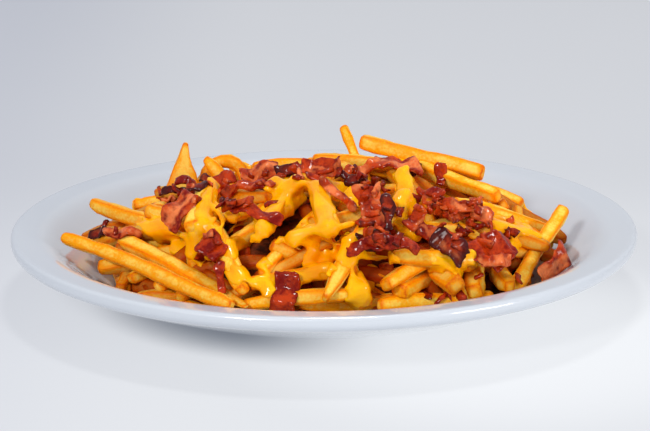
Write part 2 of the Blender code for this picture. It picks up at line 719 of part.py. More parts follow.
def make_bacon(material, heap_piece, plate):
    rng = np.random.default_rng(5)
    obstacles = [tree_of([heap_piece, plate])]
    spots = []
    for across, up, length, width, angle in BACON_SEEN:
        point, sight = nearest_on_heap(across, up)
        normal = unit(heap_normal(point) + CHIP_FACING * TOWARD_SEAT)
        spots.append((point, sight, normal, length, width, angle))
    for k in range(BACON_BEHIND):
        turn = math.radians(BEHIND_FROM + BEHIND_TURN * (k * 0.618 % 1.0))
        height = BEHIND_LOW + BEHIND_RISE * k / BACON_BEHIND
        around = math.sqrt(1.0 - height * height)
        point = on_heap(np.array([around * math.cos(turn), around * math.sin(turn), height]), 0.0)
        normal = heap_normal(point)
        length, width, angle = rng.uniform(12, 22), rng.uniform(6, 14), rng.uniform(0, 180)
        spots.append((point, -normal, normal, length, width, angle))
    for number, (point, sight, normal, length, width, angle) in enumerate(spots, 1):
        chip = Chip(rng, length, width, angle)
        origin, frame = lay_chip(chip, point, sight, normal, obstacles, rng)
        piece = add_object(f"bacon_{number:02d}", chip.build(origin, frame, 0.0), material)
        obstacles.append(tree_of([piece]))


def main():
    clear_scene()
    plate = make_plate(plain_material("white glaze", WHITE_GLAZE, 0.15))
    fries = make_fries(plain_material("fried potato", FRIED_POTATO, 0.45))
    make_bacon(plain_material("cooked bacon", COOKED_BACON, 0.35), fries, plate)


main()
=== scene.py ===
# %% [markdown]
# # Cheese fries with bacon on a white plate
#
# This lesson dresses a plain solid model of a plate of cheese fries. The solid model
# gives the plate, the heap and every scrap of bacon their true places and sizes. Here
# each of them gets the surface that it has on the table: glaze, fried crust, melted
# cheese and crisp bacon. The plate and the food are in millimetres until a mesh is
# finished, because that is how a cook would measure a fry; the paper and the lamps are
# in metres. Blender's vector noise takes its offsets from the clock until it is seeded,
# so it gets a seed just as the other random numbers do.

import math

import bmesh
import bpy
import numpy as np
import openvdb
from mathutils import Matrix, Vector, noise
from mathutils.bvhtree import BVHTree


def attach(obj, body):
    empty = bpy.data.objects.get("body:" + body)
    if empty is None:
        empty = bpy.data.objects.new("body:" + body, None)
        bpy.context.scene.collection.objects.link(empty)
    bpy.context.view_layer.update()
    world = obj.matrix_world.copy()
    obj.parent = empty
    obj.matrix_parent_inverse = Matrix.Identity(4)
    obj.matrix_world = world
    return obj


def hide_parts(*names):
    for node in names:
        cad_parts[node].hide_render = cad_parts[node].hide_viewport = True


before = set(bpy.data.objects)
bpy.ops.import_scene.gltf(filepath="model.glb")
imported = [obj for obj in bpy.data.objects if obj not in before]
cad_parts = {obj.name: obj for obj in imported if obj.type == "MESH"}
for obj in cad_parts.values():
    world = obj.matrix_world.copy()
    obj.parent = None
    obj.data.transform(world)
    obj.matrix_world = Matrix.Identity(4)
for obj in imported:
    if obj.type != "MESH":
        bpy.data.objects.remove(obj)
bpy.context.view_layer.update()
MM = 0.001
rng = np.random.default_rng(21)
noise.seed_set(21)
bacon_nodes = sorted(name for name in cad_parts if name.startswith("bacon"))
print("solid model:", len(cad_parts), "nodes,", len(bacon_nodes), "of them bacon")

# %% [markdown]
# ## Shader maths that reads like maths
#
# A procedural material is a small sum over noise, height and a few attributes. Wiring
# Math nodes by hand hides the sum, so a tiny class wraps a socket and lets Python's
# own operators add the nodes. Everything that isn't a sum goes through one method,
# which takes the node's type, its settings and what its sockets get.

# %% A socket that can be added and multiplied
# A Mix node has sockets for numbers, vectors and colours. These are the numbers of its
# share, of its two colours and of the colour that comes out.
MIX_SHARE, MIX_FIRST, MIX_SECOND, MIX_COLOUR = 0, 6, 7, 2


class Signal:
    """A socket of a material, with the operators that this lesson uses."""

    def __init__(self, finish, socket):
        self.finish = finish
        self.socket = socket

    def maths(self, operation, *values):
        return self.finish.node("Math", {"operation": operation}, dict(enumerate(values)))

    def __add__(self, other):
        return self.maths("ADD", self, other)

    def __sub__(self, other):
        return self.maths("SUBTRACT", self, other)

    def __rsub__(self, other):
        return self.maths("SUBTRACT", other, self)

    def __mul__(self, other):
        return self.maths("MULTIPLY", self, other)

    def sine(self):
        return self.maths("SINE", self)


class Finish:
    """A material in the making: it ends in one Principled shader."""

    def __init__(self, name, constants):
        self.material = bpy.data.materials.new(name)
        self.material.use_nodes = True
        self.nodes = self.material.node_tree.nodes
        self.links = self.material.node_tree.links
        self.shader = self.nodes["Principled BSDF"]
        for socket, value in constants.items():
            self.shader.inputs[socket].default_value = value

    def feed(self, socket, value):
        if isinstance(value, Signal):
            self.links.new(value.socket, socket)
        else:
            socket.default_value = value

    def node(self, kind, settings, sockets, out=0):
        node = self.nodes.new("ShaderNode" + kind)
        for name, value in settings.items():
            setattr(node, name, value)
        for name, value in sockets.items():
            self.feed(node.inputs[name], value)
        return Signal(self, node.outputs[out])

    def place(self):
        return self.node("TexCoord", {}, {}, out="Object")

    def attribute(self, name):
        return self.node("Attribute", {"attribute_name": name}, {}, out="Fac")

    def grain(self, size, detail=2.0, stretch=(1.0, 1.0, 1.0)):
        """Noise from 0 to 1 whose patches are about `size` millimetres across."""
        place = self.node("Mapping", {}, {"Vector": self.place(), "Scale": stretch})
        sockets = {"Vector": place, "Scale": 1.0 / (size * MM), "Detail": detail}
        return self.node("TexNoise", {}, sockets)

    def between(self, signal, low, high):
        """0 below `low`, 1 above `high` and a soft step between."""
        settings = {"interpolation_type": "SMOOTHSTEP"}
        return self.node("MapRange", settings, {"Value": signal, "From Min": low, "From Max": high})

    def blend(self, share, first, second, how="MIX"):
        """The first colour where `share` is 0 and the second one where it is 1."""
        sockets = {MIX_SHARE: share, MIX_FIRST: first, MIX_SECOND: second}
        return self.node("Mix", {"data_type": "RGBA", "blend_type": how}, sockets, out=MIX_COLOUR)

    def bump(self, height, depth):
        """Relief `depth` millimetres deep."""
        sockets = {"Height": height, "Distance": depth * MM, "Strength": 1.0}
        return self.node("Bump", {}, sockets)

    def finish(self, **signals):
        for name, value in signals.items():
            self.feed(self.shader.inputs[name.replace("_", " ")], value)
        print(f"{self.material.name}: {len(self.nodes)} shader nodes")
        return self.material


def colour(*channels):
    """A colour picked in an image editor, 0 to 255, as the shader wants it."""
    shares = [channel / 255 for channel in channels]
    linear = [((s + 0.055) / 1.055) ** 2.4 if s > 0.04 else s / 12.92 for s in shares]
    return (*linear, 1.0)


print("an orange-gold crust is", [round(c, 3) for c in colour(236, 160, 50)])

# %% [markdown]
# ## The camera
#
# The plate is seen from a seat at the table: 1.1 m away and 17 degrees above the table
# top, through a long lens that keeps its ellipse calm. The heap is laid out from the
# same seat, so these numbers come first. The camera leans by a fraction of a degree,
# as a hand-held one does.

# %% Seat and camera
SEAT_ELEVATION = math.radians(17.2)
SEAT_DISTANCE = 1100.0
TOWARD_SEAT = np.array([0.0, -math.cos(SEAT_ELEVATION), math.sin(SEAT_ELEVATION)])
PICTURE_UP = np.array([0.0, math.sin(SEAT_ELEVATION), math.cos(SEAT_ELEVATION)])
SEAT = SEAT_DISTANCE * TOWARD_SEAT
LENS = 125.2
SENSOR = 36.0
AIM_UP = 34.7
AIM_ACROSS = 0.6
CAMERA_LEAN = math.radians(-0.4)
FARTHEST_SEEN = 20.0


def new_object(name, data):
    thing = bpy.data.objects.new(name, data)
    bpy.context.scene.collection.objects.link(thing)
    return thing


def looking(start, toward):
    """The angles of a camera or a lamp that looks from one point towards another."""
    return (Vector(toward) - Vector(start)).to_track_quat("-Z", "Y").to_euler()


def in_picture(across, up):
    """The point at (across, up) of the plane that faces the seat in the plate's middle."""
    return np.array([across, 0.0, 0.0]) + up * PICTURE_UP


camera_data = bpy.data.cameras.new("table_seat")
camera_data.lens = LENS
camera_data.sensor_width = SENSOR
camera_data.clip_end = FARTHEST_SEEN
camera = new_object("table_seat", camera_data)
bpy.context.scene.camera = camera
camera.location = Vector(SEAT) * MM
camera.rotation_euler = looking(SEAT, in_picture(AIM_ACROSS, AIM_UP))
camera.rotation_euler.rotate_axis("Z", CAMERA_LEAN)
print("camera at", [round(c, 3) for c in camera.location])

# %% [markdown]
# Blender develops a picture with a view transform. Its usual one, AgX, holds back
# strong colours, and golden fries and melted cheese are nothing but strong colours.
# The plain one shows each colour as it was mixed, so that is the one for this dish.

# %% Plain development
bpy.context.scene.view_settings.view_transform = "Standard"
print("view transform:", bpy.context.scene.view_settings.view_transform)

# %% [markdown]
# ## Table, backdrop and light
#
# A food photographer's table is one sheet of pale film that curves up behind the
# plate, so no horizon shows. A profile line pushed sideways makes it.

# %% The paper sweep
SWEEP_FRONT = -2.5
SWEEP_BACK = 1.6
SWEEP_CURVE = 0.9
SWEEP_WIDTH = 6.0
SWEEP_TOP = 3.0
SWEEP_STEPS = 15


def drawn(bm, points):
    """A line through the points: its points and its edges."""
    line = [bm.verts.new(point) for point in points]
    return line, [bm.edges.new(pair) for pair in zip(line, line[1:])]


sweep = bmesh.new()
profile = [(SWEEP_FRONT, 0.0), (SWEEP_BACK, 0.0)]
profile += [(SWEEP_BACK + SWEEP_CURVE * math.sin(t), SWEEP_CURVE * (1 - math.cos(t)))
            for t in np.linspace(0.0, math.pi / 2, SWEEP_STEPS + 1)[1:]]
profile += [(SWEEP_BACK + SWEEP_CURVE, SWEEP_TOP)]
line, edges = drawn(sweep, [(-SWEEP_WIDTH / 2, y, z) for y, z in profile])
wide = bmesh.ops.extrude_edge_only(sweep, edges=edges)["geom"]
moved = [part for part in wide if isinstance(part, bmesh.types.BMVert)]
bmesh.ops.translate(sweep, verts=moved, vec=(SWEEP_WIDTH, 0.0, 0.0))
bmesh.ops.recalc_face_normals(sweep, faces=sweep.faces)
sweep_mesh = bpy.data.meshes.new("paper_sweep")
sweep.to_mesh(sweep_mesh)
sweep.free()
sweep_mesh.shade_smooth()
paper_sweep = new_object("paper_sweep", sweep_mesh)
print("paper sweep:", len(sweep_mesh.polygons), "faces")

# %% [markdown]
# The film glows by its own emission, and that glow is painted light: a painted pool of light before the
# plate on the right, painted shade towards the left and the back, and a painted shadow under the plate,
# darkest on the left. Distances from the middle are compared as squares, which needs no root in the
# shader.

# %% The painted glow of the paper, with its pool of light, shade and shadow, in metres from the plate's middle
PAINTED_POOL_ACROSS = 0.08
PAINTED_POOL_BACK = -0.08
PAINTED_POOL_SQUARED = (0.001, 0.02)
PAINTED_SHADE_BACK = (-0.05, 0.25)
PAINTED_SHADE_LEFT = (0.04, 0.26)
PAINTED_SHADE_LEFT_BACK = (-0.1, 0.3)
PAINTED_SHADOW_SQUARED = (0.0066, 0.0142)
PAINTED_SHADOW_SIDES = (-0.045, 0.035)


def squared(signal):
    return signal * signal


# The base colour is the film's own faint mottle; the emission colour is painted light and shade.
paper = Finish("pale paper", {"Roughness": 0.9, "Emission Strength": 1.0})
mottle = paper.blend(paper.grain(300.0), colour(104, 106, 109), colour(108, 110, 113))
across, back = (paper.node("SeparateXYZ", {}, {0: paper.place()}, out=axis) for axis in "XY")
# A painted pool of light before the plate on the right
past_painted_pool = paper.between(squared(across - PAINTED_POOL_ACROSS) + squared(back - PAINTED_POOL_BACK), *PAINTED_POOL_SQUARED)
painted_glow = paper.blend(past_painted_pool, colour(217, 219, 222), colour(201, 203, 207))
# Painted shade: the film glows less towards the back
painted_glow = paper.blend(paper.between(back, *PAINTED_SHADE_BACK), painted_glow, colour(182, 184, 189))
# Painted shade on the left, deeper towards the back
left = paper.blend(paper.between(back, *PAINTED_SHADE_LEFT_BACK), colour(181, 184, 193), colour(164, 167, 177))
painted_glow = paper.blend(paper.between(0.0 - across, *PAINTED_SHADE_LEFT), painted_glow, left)
# A painted shadow under the plate, dark on the left and light on the right
painted_shadow = paper.between(across, *PAINTED_SHADOW_SIDES)
painted_shadow = paper.blend(painted_shadow, colour(116, 121, 130), colour(214, 217, 221))
past_painted_shadow = paper.between(squared(across) + squared(back), *PAINTED_SHADOW_SQUARED)
painted_glow = paper.blend(past_painted_shadow, painted_shadow, painted_glow)
sweep_mesh.materials.append(paper.finish(Base_Color=mottle, Emission_Color=painted_glow))

# %% [markdown]
# Most of the light comes from all round, as in a white tent, so shadows are soft and
# faintly blue. A box in front on the left gives the heap its shape, a broader, low one on
# the right fills the shaded side, and a small one overhead draws highlights along the
# top of everything wet. Its mirror image in the glaze lies behind the heap.

# %% Soft lights and a pale sky: place, width and depth, and power in watts
SOFT_BOXES = {
    "front_box": ((-0.7, -1.3, 0.95), (0.34, 0.28), 16.2),
    "side_box": ((1.4, -1.0, 0.35), (0.7, 0.4), 13.6),
    "top_box": ((0.06, 0.22, 1.2), (0.22, 0.18), 5.6),
}
LIT_POINT = (0.0, 0.0, 0.03)
LAMP_TINT = (1.0, 0.98, 0.95)
SKY_COLOUR = (0.90, 0.93, 1.0, 1.0)
SKY_STRENGTH = 0.48

for name, (spot, sides, power) in SOFT_BOXES.items():
    lamp = bpy.data.lights.new(name, "AREA")
    lamp.shape = "RECTANGLE"
    lamp.size, lamp.size_y = sides
    lamp.energy = power
    lamp.color = LAMP_TINT
    box = new_object(name, lamp)
    box.location = spot
    box.rotation_euler = looking(spot, LIT_POINT)
world = bpy.data.worlds.new("pale_sky")
world.use_nodes = True
sky = world.node_tree.nodes["Background"]
sky.inputs["Color"].default_value = SKY_COLOUR
sky.inputs["Strength"].default_value = SKY_STRENGTH
bpy.context.scene.world = world
print("lights:", list(SOFT_BOXES))

# %% [markdown]
# ## The plate
#
# A coupe plate is a potter's turning: one section spun round. The solid model's plate
# has 48 facets, which show as straight stretches along its bright rim, so the same
# section is spun again with many more steps, a fuller lip and a rounded foot. Near the
# lip the flange lies almost level, so that a strip of it shows before the food, and
# under the lip the body runs straight down to the foot.

# %% The plate's section
PLATE_RADIUS = 150.0
PLATE_HEIGHT = 32.0
WELL_RADIUS = 84.0
WELL_TOP = 6.0
FOOT_RADIUS = 80.0
FOOT_WIDTH = 6.0
FOOT_HEIGHT = 2.2
GAP = 0.35
PLATE_TURNS = 160
RISING_STEPS = 28
RISING_SHARE = 0.6
LIP_TOP = PLATE_HEIGHT + 0.5
LIP_UNDER = PLATE_HEIGHT - 6.4
LIP_INNER = PLATE_RADIUS - 2.0
LIP_LOWER = PLATE_RADIUS - 2.8
FOOT_INSIDE = FOOT_RADIUS - FOOT_WIDTH
FOOT_OUTSIDE = (FOOT_RADIUS + 8.0, 2.9)
LEVEL_START = (138.0, 31.6)


def bezier(a, b, c, d, steps):
    """Points of a cubic Bezier curve, both ends included."""
    t = np.linspace(0.0, 1.0, steps + 1)[:, None]
    a, b, c, d = (np.array(p, dtype=float) for p in (a, b, c, d))
    return (1 - t) ** 3 * a + 3 * t * (1 - t) ** 2 * b + 3 * t ** 2 * (1 - t) * c + t ** 3 * d


def flange(steps):
    """The plate's upper surface from the edge of the well out to the lip."""
    return bezier((WELL_RADIUS, WELL_TOP), (WELL_RADIUS + 24, WELL_TOP - 1),
                  (118.0, 26.2), (LIP_INNER, PLATE_HEIGHT), steps)


FLANGE_FINE = flange(40)


def plate_top(radius):
    """Height of the plate's upper surface at a distance from its middle."""
    return np.interp(radius, FLANGE_FINE[:, 0], FLANGE_FINE[:, 1])


rising = flange(RISING_STEPS)[:int(RISING_STEPS * RISING_SHARE) + 1]
levelling = bezier(rising[-1], rising[-1] + (8.0, 5.1), (130.5, 30.8), LEVEL_START, 12)
level = bezier(LEVEL_START, (141.0, 31.9), (145.0, LIP_TOP - 0.2), (LIP_INNER, LIP_TOP), 6)
lip = bezier((LIP_INNER, LIP_TOP), (PLATE_RADIUS + 0.8, LIP_TOP + 0.1),
             (PLATE_RADIUS + 1.0, LIP_UNDER + 1.8), (LIP_LOWER, LIP_UNDER), 12)
lip[:, 0] = np.minimum(lip[:, 0], PLATE_RADIUS)
body = bezier((LIP_LOWER, LIP_UNDER), (130.0, 18.2), (108.0, 9.5), FOOT_OUTSIDE, 20)
foot_out = bezier(FOOT_OUTSIDE, (FOOT_RADIUS + 4.0, 1.6), (FOOT_RADIUS + 1.0, 0.0),
                  (FOOT_RADIUS - 1.0, 0.0), 6)
foot_in = bezier((FOOT_INSIDE + 1.0, 0.0), (FOOT_INSIDE - 0.6, 0.0),
                 (FOOT_INSIDE - 1.0, FOOT_HEIGHT), (FOOT_INSIDE - 3.0, FOOT_HEIGHT), 5)
well = [(radius, WELL_TOP) for radius in (0.0, 28.0, 56.0, 76.0)]
section = [*well, *rising, *levelling[1:], *level[1:], *lip[1:], *body[1:], *foot_out[1:], *foot_in,
           (40.0, FOOT_HEIGHT), (0.0, FOOT_HEIGHT)]
print("plate section:", len(section), "points")

# %% Spin it
SAME_POINT = 0.001


def spun(section, steps):
    """A section of (radius, height) points, spun round the upright axis."""
    bm = bmesh.new()
    line, edges = drawn(bm, [(radius, 0.0, height) for radius, height in section])
    bmesh.ops.spin(bm, geom=line + edges, axis=(0, 0, 1), cent=(0, 0, 0),
                   angle=math.tau, steps=steps, use_merge=True)
    bmesh.ops.remove_doubles(bm, verts=bm.verts, dist=SAME_POINT)
    bmesh.ops.recalc_face_normals(bm, faces=bm.faces)
    return bm


def finished(name, bm):
    """Turn a bmesh in millimetres into an object in metres, at the origin."""
    bmesh.ops.scale(bm, vec=(MM, MM, MM), verts=bm.verts)
    mesh = bpy.data.meshes.new(name)
    bm.to_mesh(mesh)
    bm.free()
    mesh.shade_smooth()
    thing = new_object(name, mesh)
    triangles = sum(len(face.vertices) - 2 for face in mesh.polygons)
    print(f"{name}: {triangles} triangles, {[round(side / MM) for side in thing.dimensions]} mm")
    return thing


glazed_plate = finished("glazed_plate", spun(section, PLATE_TURNS))

# %% [markdown]
# White glaze is a hard clear skin over a slightly blue-white body. The body is nearly
# matt and the skin mirrors the lamps, so the coat does the shining. Glaze pools and
# thins a little as it fires, which a very shallow relief shows in the highlights.

# %% White glaze
glaze = Finish("white glaze", {"Coat Weight": 1.0, "Coat Roughness": 0.07, "Roughness": 0.4})
white = glaze.blend(glaze.grain(60.0), colour(192, 198, 207), colour(198, 204, 212))
ripple = glaze.bump(glaze.grain(26.0, detail=1.0), 0.06)
glazed_plate.data.materials.append(glaze.finish(Base_Color=white, Normal=ripple))
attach(glazed_plate, "root")
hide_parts("plate")

# %% [markdown]
# ## The heap
#
# Fries in a heap lie on each other. Each one is kept as a slightly bowed stick: the middle, the
# direction, the length and the thickness. The sticks that show from the seat are listed, the others are
# spread over a dome, and then all of them are pushed apart until none cuts another. The solid model's
# heap was laid by the same rules and numbers, so the real fries take the very places of its plain ones.

# %% Fries that show from the seat: tip, a second point, whole length, thickness
LEFT_FRIES = [
    ((-126, 25, -26), (-45, -8, -86), 106, 7.4),
    ((-99, 23, -27), (-41, -8, -86), 88, 7.6),
    ((-113, 42, 14), (-77, 29, -29), 70, 8.0),
    ((-93, 41, 20), (-67, 43, 24), 58, 7.6),
    ((-108, 29, 8), (-84, 24, -23), 52, 6.0),
    ((-110, 10, -40), (-84, 13, -40), 46, 7.6),
    ((-95, 4, -50), (-75, 13, -40), 44, 7.0),
    ((-81, 0, -64), (-67, 13, -44), 48, 8.0),
    ((-71, -5, -72), (-58, 6, -56), 44, 7.6),
    ((-86, 38, -18), (-60, 31, -42), 46, 8.0),
    ((-55, 50, -16), (-61, 30, -45), 44, 8.6),
    ((-61, 27, -50), (-64, 8, -57), 28, 8.0),
    ((-62, 69, 30), (-69, 48, 22), 48, 8.4),
    ((-58, 63, 34), (-49, 53, 30), 44, 8.0),
    ((-54, 63, 36), (-39, 58, 36), 50, 7.4),
    ((-44, 35, -51), (-30, 41, -15), 52, 8.4),
]
MIDDLE_FRIES = [
    ((-33, 23, -72), (-20, 42, -31), 58, 9.0),
    ((-25, 50, -26), (-18, 42, -14), 44, 8.0),
    ((-15, 49, -32), (3, 56, 6), 60, 8.0),
    ((-7, 51, -29), (8, 47, -12), 50, 7.6),
    ((-3, 47, -38), (1, 32, -60), 44, 8.6),
    ((-17, 21, -76), (18, 31, -50), 56, 8.0),
    ((-30, 6, -77), (-12, 24, -52), 48, 7.8),
    ((-39, -2, -86), (-47, 17, -63), 44, 8.4),
    ((-47, 20, -62), (-36, 25, -47), 44, 7.6),
    ((-1, -6, -92), (14, 18, -72), 46, 8.8),
    ((13, 17, -74), (24, 27, -53), 46, 8.4),
    ((-36, 2, -79), (-1, 6, -76), 48, 7.2),
    ((-39, -8, -84), (-19, -6, -84), 50, 7.6),
    ((-13, -9, -86), (14, -8, -84), 52, 7.8),
    ((6, 27, -51), (24, 35, -27), 46, 8.0),
    ((-11, 18, -57), (10, 9, -64), 44, 7.6),
    ((3, 14, -70), (-6, 24, -50), 46, 7.6),
    ((-35, 58, 34), (-11, 59, 36), 52, 7.6),
    ((-5, 63, 36), (11, 61, 34), 48, 7.2),
]
RIGHT_FRIES = [
    ((18, 71, 40), (77, 55, 24), 64, 8.4),
    ((9, 78, 42), (16, 62, 36), 44, 6.0),
    ((39, 61, 34), (78, 44, -3), 62, 7.6),
    ((3, 62, 38), (24, 58, 34), 50, 7.6),
    ((116, 37, 4), (95, 1, -56), 78, 7.4),
    ((108, 28, 5), (83, 36, -10), 56, 6.4),
    ((106, 22, -12), (87, 29, -23), 52, 7.4),
    ((103, 16, -26), (86, 17, -38), 46, 7.2),
    ((32, 14, -77), (62, 13, -70), 40, 8.0),
    ((29, 0, -86), (46, 10, -64), 46, 8.4),
    ((36, -2, -86), (52, 4, -67), 44, 8.0),
    ((64, 0, -80), (51, 9, -60), 46, 8.8),
    ((73, -3, -76), (75, 12, -50), 46, 8.0),
    ((91, -1, -66), (84, 10, -47), 44, 8.6),
    ((26, -9, -85), (56, -7, -77), 56, 8.0),
    ((18, -5, -88), (14, 10, -69), 42, 8.4),
    ((21, -7, -88), (13, -3, -79), 34, 8.0),
    ((39, 56, -9), (42, 38, -37), 44, 8.6),
    ((49, 31, -46), (71, 26, -37), 50, 8.0),
    ((46, 24, -60), (28, 31, -46), 46, 8.0),
    ((67, 9, -62), (86, 20, -30), 52, 8.0),
]
print("fries placed by hand:", len(LEFT_FRIES + MIDDLE_FRIES + RIGHT_FRIES))

# %% The heap's measurements
# Half of an ellipsoid over the plate, which the outermost fries lie on, and the rules
# by which fries are spread over it
HEAP_MIDDLE = np.array([0.0, -2.0, 6.5])
HEAP_SIZE = np.array([118.0, 93.0, 52.0])
FRY_THICKNESS = 7.6
OUTER_PLACES = 96
INNER_PLACES = 64
OUTER_DEPTH = 6.0
INNER_DEPTH = 17.0
OUTER_ROOM = 11.0
INNER_ROOM = 4.0
LOWEST_PLACE = 0.06
FRONT_FACING = 0.45
CROWN = 0.85
SPREAD_LENGTHS = (46.0, 90.0)
SPREAD_TILT = 0.3
SPREAD_GIRTHS = (0.85, 1.15)
BOW = 0.03
GOLDEN_ANGLE = math.pi * (3.0 - math.sqrt(5.0))

# How much of a fry shows from the seat
HIDDEN, GLIMPSED, PLACED = 0, 1, 2

# Core: how far it stays inside the heap, its rings as shares of its width and height,
# down the dome and then back along the underside, and where the plate under it is felt
CORE_DEPTH = 10.0
CORE_INSET = 4.0
CORE_EDGE = 4.0
CORE_RINGS = ((0.05, 1.0), (0.35, 0.95), (0.62, 0.80), (0.84, 0.52), (0.97, 0.16),
              (0.97, None), (0.80, None), (0.05, None))
CORE_FLOOR = 0.86
CORE_TURNS = 72

# Settling: the points of a fry that are tested and the pieces that they are tested
# against, how hard a fry is to turn, the share of each push that is followed, and of the
# way back to its own place that a fry takes in one step. Fries that show keep their
# place in the picture.
SETTLE_STEPS = 120
BEADS = 11
KNOTS = 5
INERTIA = 24
SHORTEST_GAP = 0.5
EASE = 0.6
SEEN_SHARE = 0.35
SEEN_SHIFT = 0.3
SEEN_TURN = 0.3
HOME_IN_PICTURE = 0.4
HOME_IN_DEPTH = 0.1
HOME_UNSEEN = 0.02
TURN_BACK = 0.3
TILT_BACK = 0.12
INTO_HEAP = 0.5
REST_SHARE = 0.62
print("the heap is", HEAP_SIZE * (2, 2, 1), "mm")

# %% Places and directions on the heap


def place(across, up, back):
    """The point that shows at (across, up) from the seat and lies `back` of the middle."""
    ray = in_picture(across, up) - SEAT
    return SEAT + (back - SEAT[1]) / ray[1] * ray


def on_heap(direction, depth):
    """The point of the heap in a direction from its middle, some way under its outline."""
    return HEAP_MIDDLE + direction * (HEAP_SIZE - depth)


def heap_normal(point):
    outward = (point - HEAP_MIDDLE) / HEAP_SIZE ** 2
    return outward / np.linalg.norm(outward)


def dome_direction(k, count, lowest):
    """The k-th of `count` directions spread evenly over a dome by the golden angle."""
    height = 1.0 - (k + 0.5) / count * (1.0 - lowest)
    around, turn = math.sqrt(1.0 - height * height), k * GOLDEN_ANGLE
    return np.array([around * math.cos(turn), around * math.sin(turn), height])


def unit(vectors):
    return vectors / np.linalg.norm(vectors, axis=-1, keepdims=True)


def along_sight(vectors):
    """The part of each vector that points towards the seat."""
    return (vectors @ TOWARD_SEAT)[:, None] * TOWARD_SEAT


print("the top of the heap is at", on_heap(np.array([0.0, 0.0, 1.0]), 0.0).round(1), "mm")

# %% Sticks that push each other apart


